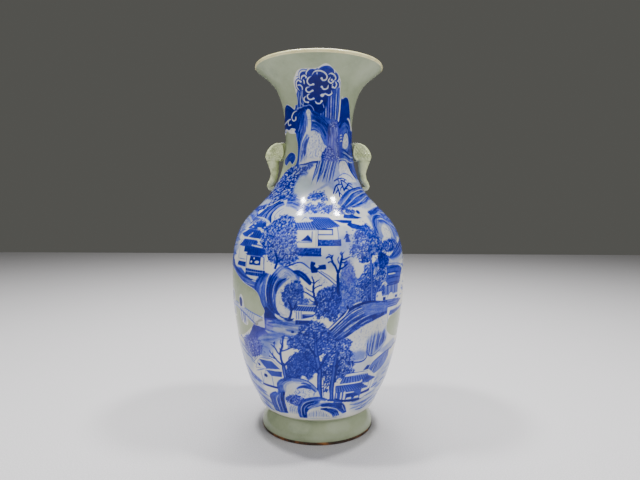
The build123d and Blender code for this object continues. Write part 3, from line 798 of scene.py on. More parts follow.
def centre_rock(p):
    """The tall rock left of the middle, with a small tree and the violet shore below."""
    p.fill([(-34.6, 204), (-36, 218), (-38.6, 230), (-30, 232), (-26, 212), (-26, 203)], 0.8, soft=2)
    veil(p, [(-34.6, 206), (-38.4, 222), (-40, 240), (-38, 254), (-33, 264)],
         [(-29, 206), (-31, 222), (-31.6, 238), (-30.4, 252), (-28.6, 262)], (0.8, 0.66), 7, 0.35, 0.2)
    p.stroke([(-36.4, 232), (-36, 243), (-33.6, 252)], 3.0, 0.3, dry=0.4, soft=1.6)
    p.stroke([(-38.6, 226), (-39.8, 240), (-37.4, 254), (-32.6, 264)], 1.4, 0.9)
    body = [(-22, 204), (-27, 210), (-30.5, 222), (-31, 236), (-30, 250), (-27.4, 264), (-23.6, 273),
            (-20, 274.6), (-16, 270), (-12, 264), (-10, 258), (-10, 240), (-14, 215), (-17, 203)]
    p.fill(body, 0.12, round_=True)
    veil(p, [(-24, 207), (-28.6, 215), (-30.4, 228), (-30.2, 243), (-28.4, 257), (-24.6, 269)],
         [(-21.4, 209), (-24.4, 219), (-25, 231), (-24, 243), (-20.4, 252), (-16.6, 259)], (0.92, 0.66), 6,
         0.3, 0.14)
    veil(p, [(-26, 264), (-22.4, 273), (-18.6, 273.4), (-14, 267), (-10.6, 258)],
         [(-20, 257), (-18, 262), (-16.4, 263), (-14.6, 259), (-13, 252)], (0.5, 0.2), 5, 0.4, 0.16)
    p.strokes([
        ([(-27.4, 213), (-29, 226), (-29, 240), (-27.4, 254), (-24.6, 264)], 2.2, 0.97),
        ([(-24.8, 236), (-24.4, 246), (-21.6, 254.6), (-18.6, 258)], 3.6, 0.96),
        ([(-26.4, 221), (-27, 234), (-26.2, 246), (-23.6, 257), (-19.8, 264)], 1.0, 0.12),
        ([(-20, 274), (-16, 271.4), (-12.6, 266), (-10.4, 260)], 1.6, 0.9),
    ], ends=(0.5, 0.4), dry=0.15)
    p.stroke([(-31.4, 222), (-32, 238), (-31, 253), (-28.6, 265), (-25, 274)], 1.2, 0.06, ends=(0.8, 0.8))
    cliff = [(-20, 204), (-24, 212), (-25, 226), (-24.2, 238), (-20.6, 247), (-17.6, 253), (-16, 248),
             (-18, 238), (-20, 226), (-18.6, 212), (-17, 205)]
    p.fill(cliff, 0.04, round_=True)
    dots(p, cliff, 2.4, (0.25, 0.5), 2.8, 0.8, (80, 100))
    p.stroke([(-24, 207), (-21, 203), (-18, 202.4), (-16.4, 206)], 1.8, 0.88)
    p.stroke([(-22.6, 211), (-20.6, 207), (-18.4, 206.6)], 1.0, 0.4)
    p.fill([(-34, 199), (-34, 212), (-32, 217), (-29.6, 212), (-26.4, 205), (-24, 200)], 0.96, mottle=0.1)
    leaves(p, [(-20.6, 226), (-20.8, 238), (-17.8, 249), (-14, 255), (-9.6, 254), (-8, 240), (-8.6, 226),
               (-12, 216), (-17, 217)], 1.8, 0.62, size=2.8)
    p.stroke([(-17, 199.6), (-16, 206), (-15.4, 214), (-16, 222), (-17.6, 229)], 3.2, 0.95, ends=(1, 0.3))
    p.stroke([(-15.4, 213), (-13.4, 219), (-12, 226)], 2.0, 0.95, ends=(1, 0.3))
    p.stroke([(-19.6, 200.4), (-16.4, 200), (-13.6, 203)], 3.0, 0.9)


def mist(p):
    """Pale washes of mist and water between the scenes."""
    for outline, tone in [
        ([(-14, 276), (-12, 292), (2, 296), (20, 304), (25, 292), (20, 280), (8, 272), (-4, 272)], 0.26),
        ([(14, 300), (16, 324), (24, 326), (30, 312), (26, 298)], 0.2),
        ([(-14, 344), (-10, 356), (2, 360), (10, 352), (2, 342)], 0.2),
        ([(46, 268), (48, 284), (60, 290), (68, 280), (60, 268)], 0.26),
        ([(-30, 178), (-28, 198), (-14, 200), (-8, 188), (-18, 178)], 0.24),
        ([(24, 120), (26, 134), (38, 138), (40, 126), (32, 118)], 0.18),
    ]:
        p.fill(outline, tone, soft=9, round_=True, mottle=0.45)


def bank_and_fence(p):
    """The pale bank behind the rock, with its dark foot and a rail."""
    p.fill([(-15, 276), (-11, 281), (-8, 280), (-4, 273), (-2, 268), (-4, 258), (-8, 262), (-12, 270)],
           0.14, round_=True)
    dots(p, [(-13, 275), (-10, 279), (-4, 270), (-4, 262), (-9, 266)], 3.4, (0.4, 0.7), 3.2, 0.9, (20, 60))
    p.stroke([(-15, 276.6), (-12, 280.6), (-9, 280.4), (-5.6, 275), (-3, 269.6)], 1.6, 0.86)
    p.fill([(-14.6, 268.6), (-11.4, 270.6), (-8, 267), (-5.4, 261), (-3.6, 254), (-4.4, 250), (-7, 255),
            (-10, 261)], 0.9, round_=True)
    p.stroke([(-11, 267), (-8, 262), (-6, 256.6)], 1.0, 0.5)
    p.fill([(-4.4, 276), (-4, 283), (-1.6, 281), (-1, 277), (4.4, 278.6), (4.8, 272), (0, 271.6),
            (-0.4, 267.4), (-3.6, 267)], 0.95)
    p.fill([(-0.6, 273.6), (0.8, 276), (-1, 279.5), (-2.2, 277)], 0.1)
    p.stroke([(0, 269.4), (5, 261), (10.2, 250)], 1.4, 0.85, ends=(0.9, 0.9))
    p.stroke([(1.6, 269.6), (6.4, 262.6), (10.6, 254)], 1.0, 0.8, ends=(0.9, 0.9))
    p.fill([(-3, 266), (0, 267), (4, 260), (8, 250), (4, 248), (-1, 252)], 0.1, soft=3)
    dots(p, [(-3, 265), (1, 265), (5, 256), (2, 250), (-2, 254)], 3.2, (0.4, 0.7), 3.0, 0.9, (10, 60))


def middle_trees(p):
    """Bare branches, a violet-dotted tree and dark leaves in the middle."""
    bush = [(10, 214), (9.6, 230), (12, 248), (13.6, 268), (17, 283), (20, 277), (22.6, 258), (26, 244),
            (27, 228), (24, 214), (17, 206)]
    leaves(p, bush, 1.7, 0.56, (0.74, 0.96), (0.08, 0.36), 2.2, specks=1.3, ragged=1.6)
    p.fill([(15, 256), (14.6, 274), (17.6, 285), (21, 276), (21.6, 258), (18, 250)], 0.5, soft=4,
           round_=True, mottle=0.3, cover=0.55, violet=0.8, rough=2)
    leaves(p, [(27, 212), (25, 230), (29, 250), (36, 254), (43, 246), (45, 228), (42, 212), (34, 207)], 1.8,
           0.7, size=2.8, lean=(30, 100))
    dark = [(-1.5, 208), (-2, 224), (-0.5, 238), (2.4, 245), (7, 249), (11.6, 247), (13.6, 236), (13, 222),
            (12, 208), (9, 199), (6, 203), (3, 208), (0.6, 204)]
    leaves(p, dark, 1.7, 0.74, size=2.9, lean=(10, 90))
    p.dab(17.6, 218, 7, 3.6, 2.0, 1.0)
    limbs = [
        ([(11.6, 240), (11.6, 252), (11.4, 262), (11.6, 270)], 4.4),
        ([(11.2, 268), (10.2, 275), (8.6, 281), (8.0, 287), (8.8, 291)], 2.8),
        ([(12, 268), (12.8, 275), (13.4, 282), (14.2, 289), (14, 296)], 3.0),
        ([(8.6, 281), (7.0, 282.4), (6.2, 281.4)], 1.5),
        ([(8.2, 286), (6.6, 289), (5.0, 287.6)], 1.6),
        ([(8.4, 287), (7.8, 290.4), (6.4, 291.6)], 1.3),
        ([(13.8, 284.6), (16, 285.6), (18, 287.6), (19.4, 288.6)], 1.8),
        ([(13.2, 281), (15.6, 281), (17, 283.6)], 1.5),
        ([(14.2, 290), (13.2, 293), (13.4, 295.4)], 1.3),
        ([(14.2, 292), (15.2, 294.4), (15.8, 296.6)], 1.3),
        ([(13, 272), (15.8, 276), (17.4, 279)], 2.0),
        ([(12.2, 280), (11.6, 285), (12.2, 289)], 1.3),
        ([(-0.4, 222), (-1.4, 230), (-2.2, 238), (-2.6, 246), (-2.2, 254), (-3.4, 262)], 2.8),
        ([(-1.6, 232), (-4, 236), (-6.4, 239.6), (-9.4, 242.4)], 1.8),
        ([(-2.4, 240), (-5.4, 243.6), (-7, 247)], 1.3),
        ([(-2.6, 244), (-0.6, 248), (2.4, 250.6)], 1.5),
        ([(-2.4, 251), (-1, 255), (1, 258)], 1.2),
        ([(-2.4, 253), (-5, 256), (-6, 259)], 1.2),
        ([(-0.6, 226), (-3.4, 228), (-4.8, 232)], 1.5),
        ([(-0.4, 224), (-2.4, 224.6), (-5, 223)], 1.6),
    ]
    for path, width in limbs:
        p.stroke(path, width, 0.95, ends=(1, 0.5))
    for a, z in [(5, 287.6), (5.6, 288.6), (6.2, 281.4), (6.4, 292)]:
        p.dab(a, z, 2.8, 2.2, 0.6, 0.95)
    p.fill([(-12, 219), (-9.6, 225), (-7, 229), (-4, 226), (-2, 222), (-5, 220.6)], 0.25, soft=2)
    foliage(p, [(-10.5, 222), (-9.6, 230), (-7, 233), (-5, 228), (-7, 222)], 1.8, 0.5, (0.7, 0.95), 2.6)


def small_pavilion(p):
    """The little pavilion at the water's edge."""
    p.fill([(-14, 201), (-13, 213), (-3, 213), (-1.4, 206), (-3, 200)], 0.05)
    roof(p, [(-13.6, 214), (-2.4, 213.4), (-1.2, 220.6), (-11.4, 221)], tiles=8, tone=0.94, base=0.52,
         ridge=1.6, eave=1.4)
    p.bar([(-12.6, 211.6), (-8, 211.6), (-2, 211.4)], 2.4, 0.05)
    for a in (-12.4, -11.0, -9.6):
        p.bar([(a, 202.6), (a, 212.6)], 1.0, 0.8)
    p.fill([(-9, 202.6), (-9, 209.6), (-1.6, 209.4), (-2.4, 206.4)], 0.88)
    p.stroke([(-8.6, 208.4), (-5, 208), (-2, 208.2)], 0.8, 0.3)
    p.fill([(-13, 194.4), (-3, 194.4), (-3, 200.6), (-13, 200.6)], 0.93)
    p.stroke([(-11.4, 194.6), (-11.4, 200.4)], 0.8, 0.45)
    p.bar([(-13, 201.4), (-3, 201.4)], 1.2, 0.05)
    p.dab(-15, 183, 4.4, 3.6, 0.4, 0.95)


def right_pavilion(p):
    """The hall with a long wall and terrace at the right."""
    p.fill([(45, 262), (46, 273), (58, 274), (70, 268), (74, 262), (66, 256), (66, 244), (46, 242)], 0.1)
    p.fill([(46, 262), (46, 272), (53, 273), (61, 271), (69, 264), (66, 257), (63, 246), (60, 243.6),
            (48, 243.4), (45, 250)], 0.76, mottle=0.25)
    for i in range(7):
        z = 246 + i * 3.7
        p.stroke([(46, z), (54, z + 0.8), (64 + i * 0.5, z - 0.6)], 1.6, [0.92, 0.62][i % 2], dry=0.3)
    p.stroke([(48, 259.8), (52, 260), (56.4, 259.6)], 2.0, 0.05, ends=(0.9, 0.6))
    p.stroke([(44, 275.6), (54, 274.6), (64, 272), (74, 265)], 1.2, 0.6)
    p.fill([(44, 229.6), (44, 243.6), (60, 243.6), (60, 230)], 0.62, mottle=0.3)
    for a in (45.4, 49.4, 53.6, 57.6):
        p.bar([(a, 231), (a, 243)], 1.8, 0.35)
        p.bar([(a + 1.4, 231), (a + 1.4, 243)], 1.2, 0.88)
    p.bar([(46, 243.6), (54, 243.6), (62, 244)], 1.6, 0.92)
    for z in (234, 241):
        p.fill([(60.6, z - 3.6), (66, z - 3), (66, z + 1.4), (60.6, z + 2)], 0.06)
    p.fill([(36.6, 222), (37, 236), (41, 237), (42, 229.6), (61, 229.6), (61, 222)], 0.05)
    curl(p, (38, 230), 1.8, 40, 1, 1.1, 0.8, 250)
    p.fill([(46.6, 223.6), (48, 229), (51, 233), (53.2, 230), (54.4, 223.6)], 0.04, round_=True)
    p.stroke([(46.6, 224), (48.2, 229.6), (51, 233.4), (53.2, 230.4), (54.4, 224)], 1.0, 0.7)
    p.fill([(42.8, 222.8), (42.8, 227.6), (45.4, 227.6), (45.4, 222.8)], 0.96)
    p.fill([(56, 223), (56, 227), (60, 226.6), (60, 222.6)], 0.8)
    p.stroke([(37, 221.4), (48, 221.8), (66, 219.8)], 1.4, 0.85)
    p.fill([(45, 210.6), (45, 220.4), (60, 220.6), (68, 218), (60, 210.4)], 0.82, mottle=0.2)
    for z in (213.4, 217):
        p.bar([(46, z), (60, z - 0.4)], 0.9, 0.35)
    p.fill([(47, 204), (47, 210), (72, 211), (72, 206)], 0.05)
    p.fill([(50, 198), (51, 205), (60, 206), (74, 208), (88, 206), (84, 200), (60, 197)], 0.72, soft=1.2,
           mottle=0.3)
    for z in (200.4, 203):
        p.stroke([(51, z - 0.6), (62, z), (84, z + 2)], 1.4, 0.88, dry=0.4)


def right_tree(p):
    """The broad tree at the right."""
    canopy = [(19.4, 294), (21.4, 303), (24.4, 315), (29, 325), (35, 330), (39.4, 324), (43, 314),
              (45.4, 303), (44, 294), (40, 292), (39, 284), (34, 276), (29, 276), (27, 270), (23.6, 262),
              (22, 252), (22, 240), (26, 236), (34, 240), (39, 246), (45, 252), (46, 262), (44, 272),
              (49, 281), (46, 290), (42, 292), (38, 290), (30, 286), (24, 290)]
    leaves(p, canopy, 2.0, 0.5, dark=(0.72, 0.98), light=(0.04, 0.34), size=3.3, lean=(-20, 50), specks=1.3,
           ragged=4.0)
    for centre in ((27, 318), (38, 316), (31, 300), (42, 300), (29, 284), (40, 266), (30, 250)):
        leaves(p, outline_round(centre, [(-3.4, -4), (-2, 5), (3.2, 4), (3, -4)]), 1.8, 0.6, size=3.2,
               lean=(-20, 50), specks=1.5, ragged=2.6)
    p.fill([(22.6, 262), (22.6, 280), (26.6, 276), (28, 270), (26, 264), (24, 258)], 0.06, round_=True,
           soft=1.5)
    foliage(p, [(40, 272), (39.6, 286), (43, 292), (47.6, 286), (48.6, 278), (44, 270)], 1.8, 0.85,
            (0.85, 1.0), 3.0, white=0.35)
    for path, wide in [
        ([(33.6, 222), (33.4, 240), (33.2, 262), (33, 284), (32.6, 300)], 4.2),
        ([(30.4, 222), (30, 234), (27.8, 246), (25.6, 252)], 2.8),
        ([(36, 222), (36.6, 236), (38, 246), (40.4, 254)], 2.8),
    ]:
        p.stroke(path, wide, 0.82, ends=(1, 0.3))
        p.stroke(path, wide * 0.3, 0.38, ends=(1, 0.2))
    p.fill([(34.6, 262), (35.4, 270), (38.6, 274), (39.6, 270), (36.8, 263)], 0.1, soft=1)
    for i in range(5):
        p.stroke([(35.6, 263 + i * 2.2), (37.4, 266 + i * 2.0), (39.2, 267.6 + i * 1.8)], 0.9, 0.85)
    p.fill([(20.6, 221), (22.6, 224), (26.6, 225.6), (27, 223.6), (23, 220.6)], 0.06)


def upper_temple(p):
    """The temple with two striped roofs, white walls and stone terraces."""
    p.fill([(-15, 290), (-14, 325), (0, 326), (14, 332), (26, 326), (24, 300), (14, 296), (2, 290)], 0.13,
           soft=3, mottle=0.4)
    p.fill([(13, 296), (13, 314), (18, 318), (25, 314), (24, 300)], 0.3, soft=5, round_=True, mottle=0.4)
    p.fill([(-14, 322.6), (-14, 302), (0, 302.6), (0, 324.6)], 0.03)
    p.fill([(-10.6, 310.2), (-8.4, 314), (-6.4, 318.6), (-4.6, 314.6), (-3.8, 310)], 0.9)
    p.bar([(-13.4, 308.6), (-8, 308.4), (-3.6, 308.6)], 1.1, 0.6)
    p.bar([(-3.7, 309), (-3.7, 322.6)], 1.3, 0.8)
    for a in (-1.2, -0.1):
        p.bar([(a, 303), (a, 324)], 0.9, [0.3, 0.75][a > -1])
    p.fill([(0.4, 319.4), (8.6, 319.6), (8.6, 324.4), (0.4, 324)], 0.02)
    p.stroke([(0.2, 318.8), (9.2, 318.8), (9.2, 325)], 1.2, 0.75, ends=(1, 1), straight=True)
    p.fill([(9.8, 312.6), (12.4, 312.8), (12.6, 330), (10, 328.6)], 0.02)
    p.bar([(12.8, 312.6), (12.8, 329)], 1.1, 0.55)
    p.fill([(0.4, 313), (12.4, 313), (12.4, 317.4), (0.4, 317.2)], 0.02)
    roof(p, [(-16.4, 326), (-0.4, 326), (-3.2, 336), (-19, 334.4)], tiles=10, tone=0.9, base=0.42,
         ridge=1.2, eave=0.6)
    roof(p, [(0, 326.4), (14.4, 330.4), (7.4, 341.6), (-6.4, 341.6)], tiles=10, tone=0.9, base=0.42,
         ridge=0.5, eave=0.4)
    p.bar([(0, 326), (9.4, 325.6)], 1.8, 0.92)
    p.stroke([(-17, 335.8), (-10, 337.4), (-4, 338)], 2.0, 0.03, ends=(0.6, 0.9))
    p.stroke([(-11.6, 337.6), (-9.4, 342), (-7, 339.6)], 1.0, 0.6)
    p.fill([(-10.6, 338.4), (-9.2, 341), (-7.4, 338.8)], 0.02)
    for corners in ([(0.4, 304.4), (13.8, 304.2), (13.8, 312), (0.4, 311.8)],
                    [(-12.6, 291.4), (1.6, 291.4), (1.6, 300.8), (-12.2, 300.8)]):
        p.fill(corners, 0.82, mottle=0.2)
        p.dabs(p.scatter(corners, 2.5, False), 2.8, 1.1, ANY_LEAN, (0.25, 0.6))
        p.dabs(p.scatter(corners, 2.5, False), 2.4, 1.1, ANY_LEAN, (0.9, 1.0))
        p.stroke([corners[0], corners[1], corners[2]], 1.2, 0.97, ends=(1, 1), straight=True)
        p.bar([corners[0], corners[3]], 1.2, 0.97)
    p.bar([(-12.6, 290.6), (1.8, 290.4)], 1.8, 0.9)
    figure(p, (18.6, 309), 15)
    p.fill([(17, 308.4), (20, 308.8), (19.8, 313), (17.2, 313)], 0.92)
    p.stroke([(16, 312.6), (18, 316), (20.6, 318.4)], 1.6, 0.9)
    for shape, tone in [
        ([(10, 338.6), (17, 338.8), (24.6, 338), (23.6, 334), (17, 334.2)], 0.86),
        ([(18.6, 341.6), (20, 346.4), (26, 345.6), (34, 341.6), (30, 340), (22, 340.4)], 0.84),
        ([(19.6, 332), (22, 335), (25, 333.6), (30, 331), (36, 331.6), (37, 326), (30, 324.4), (23, 327)],
         0.9),
    ]:
        p.fill(shape, tone, mottle=0.15)
    foliage(p, [(30, 325), (31, 331), (35, 332), (37.4, 328), (34, 323)], 1.7, 0.7, (0.8, 1.0), 2.6)
    p.dab(33.6, 349.6, 6.4, 5.4, 0.2, 0.8)


def left_village(p):
    """Roofs, walls and terraces on the left shore."""
    p.fill([(-90, 262), (-90, 352), (-62, 352), (-58, 330), (-66, 312), (-62, 296), (-70, 280), (-72, 263)],
           0.42, soft=6, mottle=0.6)
    streaks(p, [(-90, 262), (-90, 350), (-64, 350), (-66, 300), (-72, 266)], 44, 30, 3.0, (0.3, 0.8),
            slope=-0.03)
    p.fill([(-63, 264), (-62, 298), (-50, 300), (-33, 298), (-32, 256), (-44, 252)], 0.05)
    p.fill([(-58, 325), (-53, 333), (-46, 337), (-39, 334), (-37, 325), (-47, 323.4)], 0.82, mottle=0.25)
    p.fill([(-64, 316.4), (-58, 321), (-55, 324), (-42, 323), (-39, 318), (-39, 311), (-57, 312)], 0.8,
           mottle=0.2)
    p.fill([(-63, 299), (-59, 304), (-56.6, 309.6), (-42, 309), (-39.4, 303), (-34, 299.6), (-46, 298)],
           0.82, mottle=0.2)
    p.fill([(-54, 290.6), (-54, 298.6), (-45, 299.6), (-34, 298), (-32.6, 291), (-36, 286.4), (-49, 286.6)],
           0.87, mottle=0.15)
    for a, z, length, height in [(-58.8, 326.4, 5.6, 4.6), (-55, 331, 6, 3), (-50.6, 332, 5.6, 3),
                                 (-51.4, 327, 7, 2), (-43.4, 325.6, 12, 2.4), (-38.4, 327, 6, 2)]:
        p.dab(a, z, length, height, -0.06, 0.03)
    p.stroke([(-57.4, 311.8), (-49, 310.8), (-39.8, 309.4)], 2.2, 0.03, ends=(0.8, 0.9))
    p.stroke([(-52.6, 313.4), (-50.6, 316), (-48.6, 318.8)], 2.2, 0.12, ends=(1, 0.8))
    p.fill([(-41.6, 303.2), (-39.2, 308), (-36, 307), (-34, 303), (-38, 302.6)], 0.04)
    p.stroke([(-39.6, 307.6), (-36.6, 303.6), (-34.2, 300.6)], 1.6, 0.85)
    p.stroke([(-46, 301.2), (-40, 300), (-33.8, 298.8)], 2.2, 0.04, ends=(0.8, 1))
    for i in range(8):
        p.stroke([(-53 + i * 2.2, 297.6), (-51.6 + i * 2.0, 289)], 0.9, 0.97)
        p.stroke([(-60 + i * 2.4, 308), (-61.6 + i * 2.4, 300.6)], 0.9, 0.95)
        p.stroke([(-56 + i * 2.2, 321.6), (-58 + i * 2.4, 313.6)], 0.9, 0.95)
    p.bar([(-54.6, 290.4), (-50, 289.8)], 1.8, 0.05)
    p.bar([(-60.6, 281), (-60.6, 297)], 1.4, 0.3)
    p.fill([(-49.6, 268), (-34.4, 268), (-34.4, 286), (-49.6, 286)], 0.03)
    p.bar([(-49.6, 268), (-49.6, 286)], 1.3, 0.7)
    p.fill([(-46.6, 274.8), (-36.6, 274), (-36.4, 285.6), (-46, 286)], 0.88)
    for a, z, length, height in [(-44.6, 278, 4.4, 3.2), (-39.6, 278, 9, 4.2), (-42.2, 283, 3.2, 3.2)]:
        p.dab(a, z, length, height, 0.1, 0.04)
    p.fill([(-46.6, 273.6), (-46.6, 276), (-45, 276), (-43, 274), (-40, 274.4), (-36.6, 273.6)], 0.9)
    p.bar([(-36.8, 286.4), (-34.2, 285), (-33.8, 276), (-33.6, 266)], 1.4, 0.75)
    plinth(p, [(-50, 258.8), (-32.6, 258.4), (-32.6, 267.6), (-50, 268.4)], 0.84, 9)
    p.fill([(-61.6, 270), (-50.4, 269.4), (-50.4, 276.6), (-60, 276.6)], 0.86, mottle=0.15)
    p.stroke([(-61, 278.6), (-54, 278.4), (-50, 278.4)], 1.6, 0.04, ends=(0.7, 1))
    p.stroke([(-60, 280.4), (-50.6, 279.8)], 1.0, 0.6)
    shore = [(-82, 284), (-70, 276), (-64, 268.6), (-56, 267), (-51.4, 262), (-48, 256.6), (-43, 253),
             (-38, 246), (-36.6, 238), (-40, 234), (-50, 240), (-58, 248), (-72, 258), (-84, 262)]
    p.fill(shore, 0.7, round_=True, mottle=0.3)
    p.fill([(-48, 257.4), (-40, 258), (-36, 256), (-38, 249), (-43, 250.6)], 0.06)
    p.strokes([
        ([(-66, 264), (-58, 259), (-50, 254.6), (-44, 252.6), (-40, 252)], 3.6, 0.85),
        ([(-62, 256), (-54, 250), (-46, 244.6), (-39, 241)], 4.4, 0.8),
        ([(-70, 270), (-62, 263.6), (-54, 258.6)], 4.0, 0.86),
        ([(-52, 247.6), (-44, 244.6), (-38, 243.6)], 1.2, 0.2),
        ([(-66, 268.4), (-58, 267.4), (-52, 267.6)], 1.6, 0.12),
        ([(-60, 254), (-52, 246), (-46, 242)], 1.0, 0.4),
    ], dry=0.2)


def left_tree(p):
    """The broad tree behind the village."""
    canopy = [(-36, 300), (-38.6, 312), (-38, 324), (-34, 333), (-30, 341), (-24, 345), (-18.6, 341),
              (-15.6, 332), (-14, 320), (-13.4, 306), (-11.6, 294), (-12.6, 285), (-17, 279), (-22, 277),
              (-27, 279), (-31, 284), (-33, 291)]
    leaves(p, canopy, 1.8, 0.68, size=3.0, ragged=2.0)
    for a, z in p.scatter(canopy, 3.6):
        curl(p, (a, z), p.rng.uniform(1.2, 2.0), p.rng.uniform(0, 360), p.rng.choice([-1, 1]), 0.8,
             p.rng.uniform(0.1, 0.4), 170)
    p.stroke([(-25.6, 272), (-24.6, 280), (-25, 288), (-27, 295)], 3.6, 0.92, ends=(1, 0.3))
    p.stroke([(-24.6, 280), (-21, 286), (-19, 293)], 2.4, 0.92, ends=(1, 0.3))
    p.stroke([(-20, 274), (-16, 277), (-13, 281)], 2.0, 0.85)


def left_shoulder(p):
    """The wooded hill on the left shoulder and the swirl of rock under it."""
    hill = [(-92, 352), (-94, 388), (-80, 397), (-68, 402), (-58, 411), (-45, 419), (-34, 419), (-24, 412),
            (-22, 400), (-28, 388), (-24, 378), (-28, 370), (-38, 366), (-48, 358), (-60, 352), (-76, 350)]
    leaves(p, hill, 2.3, 0.6, light=(0.15, 0.5), size=4.2, lean=(-10, 50), specks=1.6, ragged=1.6)
    p.fill([(-76, 358), (-72, 367), (-60, 369), (-54, 366), (-54, 361), (-62, 359)], 0.14, soft=4,
           round_=True, mottle=0.2)
    veil(p, [(-92, 350), (-78, 352), (-64, 350), (-56, 344)],
         [(-92, 332), (-78, 334), (-66, 333), (-58, 330)], (0.5, 0.35), 6, 0.5, 0.3)
    p.fill([(-56, 338), (-53, 350), (-47, 358), (-39, 364), (-30, 369), (-20, 368), (-11, 358), (-4, 349),
            (2, 346), (-6, 344), (-14, 341), (-19, 337), (-30, 344), (-36, 332), (-44, 337)], 0.1, soft=1.5)
    veil(p, [(-57, 332), (-55, 343), (-50, 354), (-43, 361), (-36, 364)],
         [(-38, 335), (-40, 343), (-39, 351), (-36, 357), (-32, 360)], (0.8, 0.5), 8, 0.4, 0.2)
    p.strokes([
        ([(-42.6, 338), (-44, 347), (-42.4, 355), (-38.6, 361), (-34, 363.6)], 3.4, 0.95),
        ([(-35, 334), (-38, 341), (-39, 348), (-37.4, 354)], 3.6, 0.92),
        ([(-50, 342), (-49, 350), (-45, 357)], 2.4, 0.88),
        ([(-40.4, 339), (-41.6, 347), (-40.4, 354)], 1.1, 0.15),
        ([(-34, 331.6), (-40, 337), (-46, 340), (-56, 341.6)], 1.8, 0.05),
        ([(-55, 356), (-47, 360), (-41, 366), (-34, 369)], 1.6, 0.08),
        ([(-33, 338), (-34.6, 344), (-33.6, 350), (-30, 355)], 1.4, 0.45),
        ([(-30, 342), (-31, 347), (-29, 352)], 1.2, 0.35),
    ], ends=(0.5, 0.3), dry=0.2)
    veil(p, [(-31, 368), (-24, 368.6), (-17, 365), (-11.6, 358), (-9, 351)],
         [(-29, 358), (-23, 357), (-17.6, 353.6), (-14, 349), (-12, 346)], (0.85, 0.3), 6, 0.4, 0.16)
    veil(p, [(-22, 346), (-14, 349), (-6, 346), (2, 345.6)], [(-22, 342), (-14, 344), (-6, 343), (2, 343)],
         (0.2, 0.1), 3, 0.4, 0.1)
    leaves(p, [(-30, 371), (-31, 378), (-26, 382), (-19, 379), (-19, 373), (-24, 370)], 2.0, 0.5, size=3.0)


